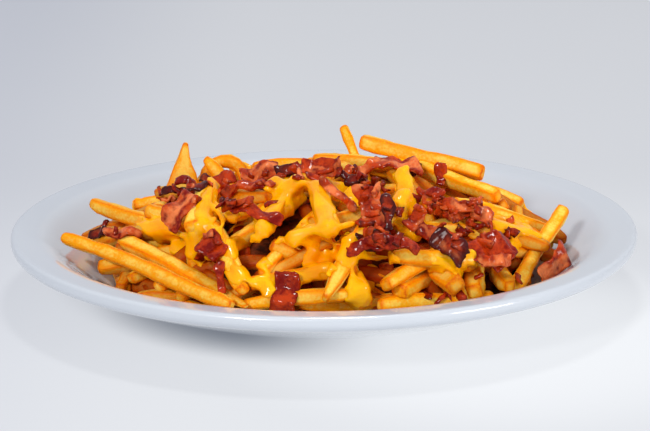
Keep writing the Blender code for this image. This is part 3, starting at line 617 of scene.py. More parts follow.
class Heap:
    """All fries as slightly bowed sticks: middle, axis, bow direction and sizes."""

    def __init__(self):
        self.rng = np.random.default_rng(11)
        self.rows = []

    def add(self, tip, root, length, thickness, shown):
        axis = unit(root - tip)
        random_side = unit(np.cross(axis, self.rng.normal(size=3)))
        facing_side = unit(np.cross(axis, np.cross(TOWARD_SEAT, axis)))
        sideways = facing_side if shown == PLACED else random_side
        bow = self.rng.uniform(-BOW, BOW) * length
        self.rows.append((tip + axis * length / 2, axis, sideways, length, thickness, bow, shown))

    def add_seen(self):
        for tip, second, length, thickness in LEFT_FRIES + MIDDLE_FRIES + RIGHT_FRIES:
            self.add(place(*tip), place(*second), length, thickness, PLACED)

    def add_spread(self, places, depth, room, front):
        """Fries that lie along the heap wherever no fry is near: all round, or not in front."""
        taken = np.array([middle + axis * length * share
                          for middle, axis, side, length, *rest in self.rows
                          for share in (-0.4, -0.2, 0.0, 0.2, 0.4)])
        for k in range(places):
            direction = dome_direction(k, places, LOWEST_PLACE)
            middle = on_heap(direction, depth)
            outward = heap_normal(middle)
            in_front = outward @ TOWARD_SEAT > FRONT_FACING
            along = unit(np.cross(outward, self.rng.normal(size=3)))
            along = unit(along + outward * self.rng.uniform(-SPREAD_TILT, SPREAD_TILT))
            length = self.rng.uniform(*SPREAD_LENGTHS)
            thickness = FRY_THICKNESS * self.rng.uniform(*SPREAD_GIRTHS)
            if (in_front and not front) or np.min(np.linalg.norm(taken - middle, axis=1)) < room:
                continue
            shown = GLIMPSED if in_front or not front or direction[2] > CROWN else HIDDEN
            half = along * length / 2
            self.add(middle - half, middle + half, length, thickness, shown)

    def freeze(self):
        columns = [np.array(column, dtype=float) for column in zip(*self.rows)]
        self.middle, self.axis, self.sideways = columns[:3]
        self.length, self.thickness, self.bow, self.shown = columns[3:]
        self.start_tip, self.start_axis = self.tips(), self.axis.copy()

    def tips(self):
        return self.middle - self.axis * self.length[:, None] / 2

    def along(self, count):
        """Points evenly spaced along every fry."""
        s = np.linspace(-0.5, 0.5, count)[None, :, None]
        bend = self.bow[:, None, None] * (1.0 - 4.0 * s * s)
        return (self.middle[:, None] + self.axis[:, None] * self.length[:, None, None] * s
                + self.sideways[:, None] * bend)

    def settle(self):
        """Push the fries apart, off the plate and back to the heap until they lie still."""
        seen = self.shown == PLACED
        free = np.where(seen, SEEN_SHARE, 1.0)
        for step in range(SETTLE_STEPS):
            beads, knots = self.along(BEADS), self.along(KNOTS)
            push = self.contact(beads, knots, free) + self.off_plate(beads)
            push[~seen] += self.into_heap(beads[~seen])
            touched = np.linalg.norm(push, axis=2) > 1e-9
            count = np.maximum(touched.sum(axis=1), 1)[:, None]
            move = EASE * push.sum(axis=1) / count
            arm = beads - self.middle[:, None]
            reach = (np.sum(arm * arm, axis=2) * touched).sum(axis=1) + self.length ** 2 / INERTIA
            spin = EASE * np.cross(arm, push).sum(axis=1) / reach[:, None]
            move_deep, spin_flat = along_sight(move), along_sight(spin)
            move[seen] = (move_deep + SEEN_SHIFT * (move - move_deep))[seen]
            spin[seen] = (SEEN_TURN * spin_flat + spin - spin_flat)[seen]
            home = self.start_tip - self.tips()
            home_deep = along_sight(home)
            move[seen] += (HOME_IN_PICTURE * (home - home_deep) + HOME_IN_DEPTH * home_deep)[seen]
            move[~seen] += HOME_UNSEEN * home[~seen]
            back = np.cross(self.axis, self.start_axis)
            back_flat = along_sight(back)
            spin[seen] += (TURN_BACK * back_flat + TILT_BACK * (back - back_flat))[seen]
            self.middle = self.middle + move
            self.axis = unit(self.axis + np.cross(spin, self.axis))
            self.sideways = self.sideways + np.cross(spin, self.sideways)
            self.sideways -= np.sum(self.sideways * self.axis, axis=1)[:, None] * self.axis
            self.sideways = unit(self.sideways)

    def contact(self, beads, knots, free):
        """How far each bead is pushed by the straight pieces of the other fries."""
        fries, per_fry = beads.shape[:2]
        p = beads.reshape(-1, 3)
        a = knots[:, :-1].reshape(-1, 3)
        d = knots[:, 1:].reshape(-1, 3) - a
        owner_p = np.repeat(np.arange(fries), per_fry)
        owner_a = np.repeat(np.arange(fries), knots.shape[1] - 1)
        dd = np.sum(d * d, axis=1)
        reached = p @ d.T - np.sum(a * d, axis=1)
        t = np.clip(reached / dd, 0.0, 1.0)
        base = np.sum(p * p, axis=1)[:, None] - 2 * p @ a.T + np.sum(a * a, axis=1)
        gap2 = base - 2 * t * reached + t * t * dd
        wanted = (self.thickness[owner_p][:, None] + self.thickness[owner_a][None, :]) / 2
        near = (gap2 < wanted ** 2) & (owner_p[:, None] != owner_a[None, :])
        i, j = np.nonzero(near)
        offset = p[i] - (a[j] + t[i, j][:, None] * d[j])
        gap = np.linalg.norm(offset, axis=1)
        outward = offset / np.maximum(gap, SHORTEST_GAP)[:, None]
        share = free[owner_p[i]] / (free[owner_p[i]] + free[owner_a[j]])
        push = np.zeros_like(p)
        np.add.at(push, i, outward * ((wanted[i, j] - gap) * share)[:, None])
        return push.reshape(beads.shape)

    def into_heap(self, beads):
        """Push back what stands out of the heap's outline."""
        scaled = (beads - HEAP_MIDDLE) / (HEAP_SIZE - FRY_THICKNESS / 2)
        over = np.maximum(np.linalg.norm(scaled, axis=2) - 1.0, 0.0)
        return -INTO_HEAP * over[..., None] * scaled / (1.0 + over[..., None]) * HEAP_SIZE

    def off_plate(self, beads):
        radius = np.maximum(np.linalg.norm(beads[..., :2], axis=2), 1e-6)
        rest = plate_top(radius) + self.thickness[:, None] * REST_SHARE + GAP
        slope = plate_top(radius + 1.0) - plate_top(radius)
        depth = np.maximum(rest - beads[..., 2], 0.0) / np.sqrt(1 + slope * slope)
        inward = -beads[..., :2] / radius[..., None]
        up = np.dstack([inward * slope[..., None], np.ones_like(slope)])
        return depth[..., None] * unit(up)


def laid_out_heap():
    heap = Heap()
    heap.add_seen()
    heap.add_spread(OUTER_PLACES, OUTER_DEPTH, OUTER_ROOM, front=False)
    heap.add_spread(INNER_PLACES, INNER_DEPTH, INNER_ROOM, front=True)
    heap.freeze()
    heap.settle()
    return heap


heap = laid_out_heap()
seen = heap.shown == PLACED
print(len(heap.length), "fries,", int(seen.sum()), "of them placed by hand")

# %% [markdown]
# ## A fry
#
# A fry starts as a square stick cut by a machine, and the fryer does the rest: edges crisp and pull in,
# faces puff or sink, ends taper, and no two come out alike. So each one begins as the same gridded
# cube. Its grid is moved onto a box with round edges, tapered, twisted, roughened and bent along its
# own line in the heap. Three numbers stay on every point for the finish: how near it is to an edge, how
# near to an end, and how dark this fry is as a whole, which is its own browning and, for fries that
# don't show from the seat, painted shade as well.

# %% The blank
CROSS_CUTS = 4
STATION_SEEN = 3.4
STATION_UNSEEN = 5.0
FEWEST_STATIONS = 6


def blank(cuts_along, cuts_over=CROSS_CUTS):
    """A cube from -1 to 1, cut into a grid."""
    bm = bmesh.new()
    bmesh.ops.create_cube(bm, size=2.0)
    for axis, cuts in enumerate((cuts_along, cuts_over, cuts_over)):
        across = [edge for edge in bm.edges if abs((edge.verts[0].co - edge.verts[1].co)[axis]) > 0.01]
        bmesh.ops.subdivide_edges(bm, edges=across, cuts=cuts, use_grid_fill=True)
    return bm


def points_of(bm):
    return np.array([vert.co for vert in bm.verts])


def move_to(bm, points):
    for vert, point in zip(bm.verts, points):
        vert.co = point


trial = blank(FEWEST_STATIONS)
print("the shortest blank has", len(trial.faces), "faces")
trial.free()

# %% Rounding, tapering and bending
CORNER = 0.34
TAPER_REACH = 9.0
POINT_REACH = 20.0
POINT_NARROWS = 0.35
POINT_LEAN = 0.8
POINTED_FRIES = {1: (1, 0.8), 4: (-1, 0.7), 11: (1, 0.5), 12: (-1, 0.8), 15: (-1, 0.3),
                 16: (-1, 0.35), 25: (-1, 0.4), 53: (-1, 0.4)}
CURLED_FRIES = {14: ((-48.0, 52.0, 36.0), 9.8, 200.0, -25.0)}
SQUARE_FRIES = {17, 27, 35, 45, 46, 47, 51}
WIDE_FRIES = {12: 2.0, 10: 1.2}
SQUARE_CORNER = 0.6
END_CROWDING = 0.86
EDGE_REACH = 0.42
END_FACE = 0.97
SUNK_FACES = 0.10
TWIST = 0.2
SWAY = 0.008
SWAY_WAVES = 3.0
WIDE_WAVES = (5.0, 13.0)
HIGH_WAVES = (4.0, 11.0)
SLOW_WAVE = 0.05
FAST_WAVE = 0.03
LIFT_STATIONS = 9
LIFT_REACH = 0.2


def spread(values):
    """Even steps from -1 to 1, crowded towards both ends."""
    return np.sin(values * math.pi / 2)


def rounded_box(co, half, corner):
    """Points of a cube's grid, moved onto a box with round edges."""
    sharp = co * half
    inner = np.clip(sharp, corner - half, half - corner)
    outward = sharp - inner
    return inner + outward * corner / np.maximum(np.linalg.norm(outward, axis=1, keepdims=True), 1e-9)


def taper(along, reach, amount):
    """Size of the section where `along` millimetres are left to the end."""
    inside = np.clip(1.0 - along / reach, 0.0, 1.0)
    return 1.0 - amount * inside * inside * (3.0 - 2.0 * inside)


def wavy(along, waves, phases):
    """A size that wanders along the fry, in a slow and a fast wave."""
    slow, fast = (np.sin(count * along + phase) for count, phase in zip(waves, phases))
    return 1.0 + SLOW_WAVE * slow + FAST_WAVE * fast


def below_glaze(points):
    """How far each point would have to rise to lie clear on the plate."""
    return plate_top(np.hypot(points[:, 0], points[:, 1])) + 2 * GAP - points[:, 2]


def smooth_lift(along, deficit):
    """How far each part of a fry is raised off the glaze, with no kink along it."""
    stations = np.linspace(-1.0, 1.0, LIFT_STATIONS)
    need = [max(0.0, np.max(deficit, where=np.abs(along - at) < LIFT_REACH, initial=0.0))
            for at in stations]
    return np.interp(along, stations, need)


def curled(along, y, z, middle, radius, first, last):
    """A fry bent round an arc that faces the seat: middle, radius and angles of its ends."""
    turn = np.radians(np.interp(along, (-1.0, 1.0), (first, last)))
    outward = np.outer(np.cos(turn), (1.0, 0.0, 0.0)) + np.outer(np.sin(turn), PICTURE_UP)
    return place(*middle) + outward * (radius + z)[:, None] + np.outer(y, TOWARD_SEAT)


def shape_fry(bm, k, draw):
    """Give the blank the form and place of fry k. Returns each point's edge and end marks."""
    x, y, z = points_of(bm).T
    length, thick = heap.length[k], heap.thickness[k]
    half = np.array([length, thick * draw.uniform(0.94, 1.04), thick * draw.uniform(0.86, 1.0)]) / 2
    half[2] *= WIDE_FRIES.get(k, 1.0)
    grid = np.column_stack([spread(x * END_CROWDING) / spread(END_CROWDING), spread(y), spread(z)])
    to_faces = np.sort((1.0 - np.abs(grid)) * half, axis=1)
    edge = np.clip(1.0 - to_faces[:, 1] / (EDGE_REACH * thick), 0.0, 1.0)
    squareness = SQUARE_CORNER if k in SQUARE_FRIES else 1.0
    p = rounded_box(grid, half, CORNER * squareness * thick * draw.uniform(0.85, 1.2))
    along = p[:, 0] / half[0]
    left_end, right_end = half[0] + p[:, 0], half[0] - p[:, 0]
    end = np.clip(1.0 - np.minimum(left_end, right_end) / TAPER_REACH, 0.0, 1.0)
    pull = draw.uniform(0.05, 0.35, size=4) * (2.0 * squareness - 1.0)
    wide = taper(left_end, TAPER_REACH, pull[0]) * taper(right_end, TAPER_REACH, pull[1])
    high = taper(left_end, TAPER_REACH, pull[2]) * taper(right_end, TAPER_REACH, pull[3])
    lean = 0.0
    if k in POINTED_FRIES:
        side, sharpness = POINTED_FRIES[k]
        tip = left_end if side < 0 else right_end
        point = taper(tip, POINT_REACH, sharpness)
        wide, high = wide * taper(tip, POINT_REACH, POINT_NARROWS), high * point
        lean = (1.0 - point) * half[2] * draw.choice([-POINT_LEAN, POINT_LEAN])
    phases = draw.uniform(0.0, math.tau, size=4)
    wide *= wavy(along, WIDE_WAVES, phases[:2])
    high *= wavy(along, HIGH_WAVES, phases[2:])
    sunk = 1.0 - draw.uniform(0.0, SUNK_FACES) * (1.0 - edge) * (np.abs(grid[:, 0]) < END_FACE)
    y, z = p[:, 1] * wide * sunk, p[:, 2] * high * sunk + lean
    turn = draw.uniform(-TWIST, TWIST) * along
    y, z = y * np.cos(turn) - z * np.sin(turn), y * np.sin(turn) + z * np.cos(turn)
    side, up = heap.sideways[k], np.cross(heap.axis[k], heap.sideways[k])
    bow = heap.bow[k] * (1.0 - along * along)
    sway = SWAY * length * np.sin(SWAY_WAVES * along + phases[0])
    world = (heap.middle[k] + np.outer(p[:, 0], heap.axis[k]) + np.outer(y + bow, side)
             + np.outer(z + sway, up))
    if k in CURLED_FRIES:
        world = curled(along, y, z, *CURLED_FRIES[k])
    world[:, 2] += smooth_lift(along, below_glaze(world))
    move_to(bm, world)
    return edge, end


print("pointed fries:", sorted(POINTED_FRIES), "curled:", sorted(CURLED_FRIES))

# %% Fry all of them
ROUGHNESS = 0.35
LUMPS = ((1.3, 0.13), (1.0, 0.28), (0.5, 0.8))
# How dark each fry is as a whole: browning alone for the fries placed from the seat, browning and
# painted shade for the others, and mostly painted shade for the hidden ones inside the heap
SEEN_BROWN = (0.0, 0.32)
UNSEEN_BROWN_AND_SHADE = (0.2, 0.6)
HIDDEN_BROWN_AND_SHADE = (0.7, 1.0)


def add_to(tray, bm):
    """Move a finished bmesh, marks and all, into a larger one."""
    mesh = bpy.data.meshes.new("part")
    bm.to_mesh(mesh)
    bm.free()
    tray.from_mesh(mesh)
    bpy.data.meshes.remove(mesh)


def marked(bm, **marks):
    """Keep numbers on the points of a bmesh: for each name a list, or one number for all."""
    for name, values in marks.items():
        layer = bm.verts.layers.float.new(name)
        for vert, value in zip(bm.verts, np.broadcast_to(values, len(bm.verts))):
            vert[layer] = value
    return bm


def layered(point, layers, shift=Vector((0.0, 0.0, 0.0))):
    """Noise in several sizes at once: the height and the fineness of each."""
    return sum(height * noise.noise(point * fineness + shift) for height, fineness in layers)


def fry_one(k, brown_and_shade):
    draw = np.random.default_rng(100 + k)
    spacing = STATION_SEEN if seen[k] else STATION_UNSEEN
    stick = blank(max(FEWEST_STATIONS, int(heap.length[k] / spacing)))
    edge, end = shape_fry(stick, k, draw)
    stick.normal_update()
    offset = Vector(draw.uniform(0.0, 500.0, size=3))
    for vert in stick.verts:
        vert.co += vert.normal * layered(vert.co, LUMPS, offset) * ROUGHNESS
    return marked(stick, edge=edge, end=end, dark=brown_and_shade)


count = len(seen)
brown_and_shade = np.where(seen, rng.uniform(*SEEN_BROWN, count), rng.uniform(*UNSEEN_BROWN_AND_SHADE, count))
brown_and_shade = np.where(heap.shown == HIDDEN, rng.uniform(*HIDDEN_BROWN_AND_SHADE, count), brown_and_shade)
pan = marked(bmesh.new(), edge=0.0, end=0.0, dark=0.0)
for k, dark in enumerate(brown_and_shade):
    add_to(pan, fry_one(k, dark))
fries = finished("potato_fries", pan)

# %% [markdown]
# The crust is a story of heat. The middle of each face stays pale gold; edges and ends, which the oil
# reaches from two sides, go orange and then brown, in fine specks. Fries inside the heap are darkened
# further by painted shade. A little light passes through the potato, so the stick glows where it is
# thin. Fresh oil leaves it half glossy.

# %% Fried crust
crust = Finish("fried crust", {
    "Subsurface Weight": 0.25, "Subsurface Scale": 0.004, "Subsurface Radius": (1.0, 0.45, 0.12),
    "Specular IOR Level": 0.08})
edge, end, dark = (crust.attribute(name) for name in ("edge", "end", "dark"))
patches = crust.grain(8.0, detail=3.0)
specks = crust.grain(1.3, detail=4.0)
pale = crust.between(patches * 0.8 + specks * 0.6 - edge * 0.5, 0.38, 0.76)
face = crust.blend(pale, colour(254, 168, 8), colour(253, 212, 88))
browned = crust.between(edge * 0.8 + specks * 0.7 + patches * 0.3, 0.85, 1.45)
face = crust.blend(browned, face, colour(240, 124, 0))
ends = crust.between(end * 0.7 + edge * 0.3 + specks * 0.5, 0.9, 1.5)
face = crust.blend(ends, face, colour(204, 88, 6))
# The dark mark multiplies in brown: browning, and painted shade on fries inside the heap
face = crust.blend(dark * 0.85, face, colour(156, 60, 8), how="MULTIPLY")
blisters = crust.grain(1.6, detail=2.0)
shine = crust.between(blisters, 0.3, 0.7) * 0.2 + 0.36
relief = crust.bump(blisters * 0.6 + specks * 0.4, 0.35)
fries.data.materials.append(crust.finish(Base_Color=face, Roughness=shine, Normal=relief))
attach(fries, "root")
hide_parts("fries")

# %% [markdown]
# ## The packed middle
#
# Between the outer fries the eye falls on more fries, brown in the shade. A low dome under them closes
# the gaps, so that no light comes through the heap; its dark brown is painted shade. It is spun like
# the plate and then squeezed to the heap's oval foot. Short fries, half sunk into the dome, make the
# floor of every gap.

# %% The dome
wide, deep, high = HEAP_SIZE - CORE_DEPTH
dome_section = [(0.0, WELL_TOP + high)]
for share, height in CORE_RINGS:
    radius = (wide - CORE_INSET) * share
    floor = float(plate_top(radius * CORE_FLOOR)) + 2 * GAP
    top = floor if height is None else max(floor + CORE_EDGE, WELL_TOP + height * high)
    dome_section.append((radius, top))
dome_section.append((0.0, WELL_TOP + 2 * GAP))
dome = spun(dome_section, CORE_TURNS)
squeeze = (deep - CORE_INSET) / (wide - CORE_INSET)
bmesh.ops.scale(dome, vec=(1.0, squeeze, 1.0), verts=dome.verts)
bmesh.ops.translate(dome, vec=(0.0, HEAP_MIDDLE[1], 0.0), verts=dome.verts)
packed_middle = finished("packed_middle", dome)
shade = Finish("shaded fries", {"Roughness": 0.7, "Specular IOR Level": 0.1})
streaks = shade.grain(6.0, detail=3.0, stretch=(1.0, 1.0, 2.0))
# Painted shade: dark browns, streaked, for fries deep in the heap
depths = shade.blend(shade.between(streaks, 0.35, 0.65), colour(40, 12, 2), colour(96, 38, 4))
packed_middle.data.materials.append(shade.finish(Base_Color=depths, Normal=shade.bump(streaks, 2.0)))
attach(packed_middle, "root")
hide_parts("fries")

# %% Fries half sunk into the dome
DEEP_FRIES = 150
DEEP_CUTS = (3, 2)
DEEP_DEPTH = 14.0
DEEP_SPREAD = (-1.5, 2.0)
DEEP_SUNK = 1.0
DEEP_LOWEST = 0.05
DEEP_TILT = 0.08
# Fries sunk in the dome are darkened mostly by painted shade
DEEP_BROWN_AND_SHADE = (0.9, 1.15)
DEEP_LENGTHS = (10.0, 16.0)
DEEP_WIDE, DEEP_HIGH = 3.7, 3.5
DEEP_CORNER = 2.4
DEEP_EDGE = 3.0
DEEP_PULL = (0.12, 0.12, 0.0)


def deep_fry(k, draw):
    """A plain rounded fry on the dome, at the k-th of its even places."""
    outward = dome_direction(k, DEEP_FRIES, DEEP_LOWEST)
    middle = on_heap(outward, DEEP_DEPTH + draw.uniform(*DEEP_SPREAD))
    normal = heap_normal(middle)
    along = unit(np.cross(normal, draw.normal(size=3)))
    along = unit(along + normal * draw.uniform(-DEEP_TILT, DEEP_TILT))
    side = np.cross(normal, along)
    half = np.array([draw.uniform(*DEEP_LENGTHS), DEEP_WIDE, DEEP_HIGH]) * draw.uniform(0.9, 1.1)
    stick = blank(*DEEP_CUTS)
    co = points_of(stick)
    p = rounded_box(co, half, DEEP_CORNER)
    edge = np.clip(1.0 - np.sort((1.0 - np.abs(co)) * half, axis=1)[:, 1] / DEEP_EDGE, 0.0, 1.0)
    end = np.clip((np.abs(p[:, 0]) - half[0]) / TAPER_REACH + 1.0, 0.0, 1.0)
    world = middle + p @ np.array([along, side, np.cross(along, side)])
    if np.max(below_glaze(world)) > DEEP_SUNK:
        world += (HEAP_MIDDLE - middle) * DEEP_PULL
    world[:, 2] += max(0.0, np.max(below_glaze(world)))
    move_to(stick, world)
    return marked(stick, edge=edge, end=end, dark=draw.uniform(*DEEP_BROWN_AND_SHADE))


scoop = marked(bmesh.new(), edge=0.0, end=0.0, dark=0.0)
for k in range(DEEP_FRIES):
    add_to(scoop, deep_fry(k, np.random.default_rng(700 + k)))
deep_fries = finished("deep_fries", scoop)
deep_fries.data.materials.append(crust.material)
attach(deep_fries, "root")
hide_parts("fries")

# %% [markdown]
# ## Melted cheese
#
# Cheese sauce has no shape of its own: it takes that of the fries, thickens where they
# meet, hangs in lobes and draws webs across gaps. That is hard to push out of a mesh
# and easy to say as a field. In a block of small cells round the heap each cell holds
# its distance to the nearest fries, softened where two are near. Where sauce was
# poured, a coat is added to that distance; strands and drops join it the same way. The
# sauce is then the surface on which the field is zero.

# %% A block of cells
CELL = 0.75
WEB = 1.5
HALF_GIRTH = 0.47
ROUND_SHARE = 0.6
FRY_REACH = 6.0
BLOCK_LOW = np.array([-128.0, -104.0, 5.0])
BLOCK_HIGH = np.array([128.0, 98.0, 75.0])
cell_axes = [np.arange(low, high, CELL, dtype=np.float32) for low, high in zip(BLOCK_LOW, BLOCK_HIGH)]
cell_counts = [len(axis) for axis in cell_axes]
print("cells:", cell_counts)


def window(points, reach):
    """The slices of the block that hold the points and `reach` millimetres round them."""
    low = np.floor((points.min(axis=0) - reach - BLOCK_LOW) / CELL).astype(int)
    high = np.ceil((points.max(axis=0) + reach - BLOCK_LOW) / CELL).astype(int)
    return tuple(slice(max(a, 0), max(b, 0)) for a, b in zip(low, high))


def cells_in(part):
    """The places of the cells in a window."""
    return np.stack(np.meshgrid(*[axis[s] for axis, s in zip(cell_axes, part)], indexing="ij"), axis=-1)


def distance_to_fry(cells, k):
    """Distance from each cell to the crust of fry k, below zero inside."""
    offset = cells - heap.middle[k].astype(np.float32)
    side, up = heap.sideways[k], np.cross(heap.axis[k], heap.sideways[k])
    half_length, half = heap.length[k] / 2, heap.thickness[k] * HALF_GIRTH
    along = offset @ heap.axis[k].astype(np.float32)
    share = np.clip(along / half_length, -1.0, 1.0)
    y = offset @ side.astype(np.float32) - heap.bow[k] * (1.0 - share * share)
    z = offset @ up.astype(np.float32)
    corner = half * ROUND_SHARE
    q = np.stack([np.abs(along) - half_length, np.abs(y) - half, np.abs(z) - half], axis=-1) + corner
    outside = np.linalg.norm(np.maximum(q, 0.0), axis=-1)
    return outside + np.minimum(q.max(axis=-1), 0.0) - corner


# %% How near the fries are
crowd = np.zeros(cell_counts, dtype=np.float32)
lines = heap.along(3)
for k in range(len(heap.length)):
    part = window(lines[k], heap.thickness[k] / 2 + FRY_REACH)
    crowd[part] += np.exp(-np.maximum(distance_to_fry(cells_in(part), k), -FRY_REACH) / WEB)
nearness = -WEB * np.log(crowd + 1e-6)
print("cells inside fries:", int((nearness < 0).sum()))

# %% [markdown]
# The sauce was poured from above in a few passes. Where it shows from the seat, soft
# ellipses say where it lies, in the same across-and-up measures as the fries. Round
# the back, where nobody planned it, drops of a seeded shower do.

# %% Where the sauce lies: across, up, half length, half width, angle in degrees
SAUCE_SEEN = [
    (-78, 28, 12, 5.5, -20), (-69, 22, 9, 6, -35), (-56, 40, 14, 5.5, 72), (-55, 23, 8, 4.5, 100),
    (-57, 12, 5, 4, 0), (-46, 35, 4.5, 3.5, 0), (-44, 19, 8, 4.5, 20), (-42, 6, 6, 4.5, 0),
    (-22, 51, 7, 4.5, 0), (-14, 50, 6, 5, 0), (-19, 45, 5, 6, 0), (-26, 34, 11, 6, 55),
    (-13, 37, 8, 7, 0), (-1, 38, 14, 5.5, 105), (-3, 49, 7, 4, 0), (10, 46, 11, 4.5, -25),
    (-8.6, 25.4, 12, 4.5, 12), (-6.5, 21.9, 5, 3.2, 90), (-5.6, 13.3, 7, 4, 90), (0, 11.5, 6, 4.5, 90),
    (-33, 12, 6, 3.5, 0), (12, 17.6, 9, 7, 60), (-28, -0.6, 5, 3, 90), (-31, 2, 6, 3, 0),
    (-10, 4.6, 9, 4, 12), (17, -2.4, 9, 6, 75), (39, 46.6, 12, 4.5, 95), (40, 40, 7, 5, 90),
    (43, 27.5, 8, 5, -15), (22, 16, 12, 5, -10), (23, 10, 4, 2.5, 90), (88, 29, 12, 4.5, -12),
    (96, 26, 4, 2.5, 0), (92, 19, 3, 2.5, 90), (72, 15, 5.5, 5, 0), (57, 10, 6, 3.5, 0),
    (18, 48, 4.5, 4.5, 0), (65, 10, 5, 4, 90),
]

# Drops at the back: their number, where round the back and how high they fall, their
# size and form, how deep they lie and how far they are felt
SHOWER = 40
SHOWER_SIDES = (0.1, math.pi - 0.1)
SHOWER_HEIGHTS = (0.25, 0.95)
SHOWER_SIZE = (5.0, 11.5)
SHOWER_FORM = (1.0, 1.0, 0.8)
SHOWER_STRETCH = (0.6, 1.3)
SHOWER_DEPTH = 3.0
SHOWER_REACH = 4.0
SHOWER_SHARE = 0.6

# The coat: how thick, how much more above, how soon it gets there, how far it goes past
# the ellipses, how steeply it ends and how near to the heap's outline it stays
COAT = 0.6
COAT_ABOVE = 0.5
COAT_EDGE = 0.9
POUR_WIDER = 0.5
COAT_DROP = 2.5
OUTER_SHELL = (0.62, 0.76)
NO_SAUCE = -8.0
FACING_LIMIT = 0.0005

# The map of the picture on which the ellipses are drawn
MAP_STEP = 0.5
MAP_LOW = (-135.0, -25.0)
MAP_HIGH = (135.0, 90.0)


def ellipse_margin(x, y, spot):
    """Millimetres inside a soft ellipse, below zero outside."""
    across, up, half_length, half_width, angle = spot
    turn = math.radians(angle)
    along = ((x - across) * math.cos(turn) + (y - up) * math.sin(turn)) / half_length
    over = ((y - up) * math.cos(turn) - (x - across) * math.sin(turn)) / half_width
    return (1.0 - np.sqrt(along * along + over * over)) * half_width


def uneven(x, y):
    """A quiet wave that makes the sauce's edges wander."""
    return 1.0 * np.sin(0.55 * x + 1.3) * np.sin(0.61 * y + 0.4) + 0.7 * np.sin(0.9 * x + 1.1 * y)


map_axes = [np.arange(low, high, MAP_STEP) for low, high in zip(MAP_LOW, MAP_HIGH)]
map_x, map_y = np.meshgrid(*map_axes, indexing="ij")
poured = np.max([ellipse_margin(map_x, map_y, spot) for spot in SAUCE_SEEN], axis=0)
poured += uneven(map_x, map_y) + POUR_WIDER
poured_area = float((poured > 0).sum()) * MAP_STEP ** 2 / 100
print("sauce seen from the seat:", round(poured_area), "square centimetres")

# %% Lay it on the cells
x, y, z = np.meshgrid(*cell_axes, indexing="ij", sparse=True)
toward = y * TOWARD_SEAT[1] + z * TOWARD_SEAT[2]
zoom = SEAT_DISTANCE / (SEAT_DISTANCE - toward)
up = (y * PICTURE_UP[1] + z * PICTURE_UP[2]) * zoom
column, row = (np.clip(((seen_at - low) / MAP_STEP).astype(int), 0, len(axis) - 1)
               for seen_at, low, axis in zip((x * zoom, up), MAP_LOW, map_axes))
margin = poured[column, row].astype(np.float32)
hx, hy, hz = ((axis - HEAP_MIDDLE[k]) / HEAP_SIZE[k] for k, axis in enumerate((x, y, z)))
shell = np.sqrt(hx * hx + hy * hy + hz * hz)
facing = hy / HEAP_SIZE[1] * TOWARD_SEAT[1] + hz / HEAP_SIZE[2] * TOWARD_SEAT[2]
margin = np.where(facing > -FACING_LIMIT, margin, NO_SAUCE)
for k in range(SHOWER):
    turn, height = rng.uniform(*SHOWER_SIDES), rng.uniform(*SHOWER_HEIGHTS)
    around = math.sqrt(1.0 - height * height)
    direction = np.array([around * math.cos(turn), around * math.sin(turn), height])
    spot = on_heap(direction, SHOWER_DEPTH)
    size = rng.uniform(*SHOWER_SIZE)
    part = window(spot[None], size + SHOWER_REACH)
    cells = cells_in(part) - spot
    stretch = SHOWER_FORM * rng.uniform(*SHOWER_STRETCH, size=3)
    ball = size - np.linalg.norm(cells * stretch, axis=-1)
    ball += uneven(cells[..., 0], cells[..., 1] + cells[..., 2])
    behind = facing[:, part[1], part[2]] < FACING_LIMIT
    margin[part] = np.maximum(margin[part], np.where(behind, ball * SHOWER_SHARE, NO_SAUCE))
outer = np.clip((shell - OUTER_SHELL[0]) / (OUTER_SHELL[1] - OUTER_SHELL[0]), 0.0, 1.0)
margin = margin * outer + NO_SAUCE * (1.0 - outer)
above = np.clip(np.gradient(nearness, CELL, axis=2), -1.0, 1.0)
rounding = 1.0 - np.exp(-np.maximum(margin, 0) / COAT_EDGE)
thickness = np.where(margin > 0, (COAT + COAT_ABOVE * above) * rounding, COAT_DROP * margin)
sauce_field = nearness - thickness
print("cells inside the coat:", int((sauce_field < 0).sum()))

# %% [markdown]
# Strands and drips are drawn as paths over the picture and let down onto the fries,
# like a cord drawn tight: a ray from the seat finds what each point lies on, and the
# line between is smoothed so that it bridges the gaps.

# %% Strands: radius and path as (across, up)
SAUCE_STRANDS = [
    (5.0, [(-78, 32), (-72, 27), (-65, 24), (-58, 28)]),
    (4.4, [(-55, 49), (-57, 40), (-59, 31), (-62, 21), (-63, 13)]),
    (3.6, [(-53, 40), (-49, 32), (-51, 23)]),
    (4.6, [(-19, 42), (-25, 33), (-31, 25)]),
    (4.4, [(-26, 47), (-19, 45), (-10, 51), (-2, 49), (7, 42)]),
    (4.6, [(-4, 47), (-3, 39), (-1, 32), (3, 28)]),
    (3.0, [(-16, 47), (-18, 40), (-15, 35)]),
    (4.4, [(-16, 23), (-8, 27), (3, 28), (15, 31)]),
    (2.8, [(-8, 25), (-7, 20), (-6, 15)]),
    (4.2, [(10, 23), (14, 18), (21, 14), (31, 14)]),
    (3.0, [(14, 12), (13, 6), (16, 0)]),
    (3.4, [(37, 46), (38, 40), (39, 31), (37, 24)]),
    (3.0, [(28, 40), (33, 35), (39, 35)]),
    (4.0, [(86, 33), (94, 29), (106, 23)]),
    (3.0, [(-30, 5), (-27, 0), (-21, -2)]),
    (3.2, [(44, 49), (52, 44), (59, 38)]),
]
STRAND_THINNER = 0.39
STRAND_STEP = 1.5
STRAND_SHARE = 0.4
STRAND_REACH = 5.0
STRAND_DEPTH = 4.0
STRAND_SWELL = 0.12
TIGHTENING = 200
BEHIND_HEAP = 60.0
SAG = 0.04
JOIN = 1.2
FIELD_FAR = 20.0


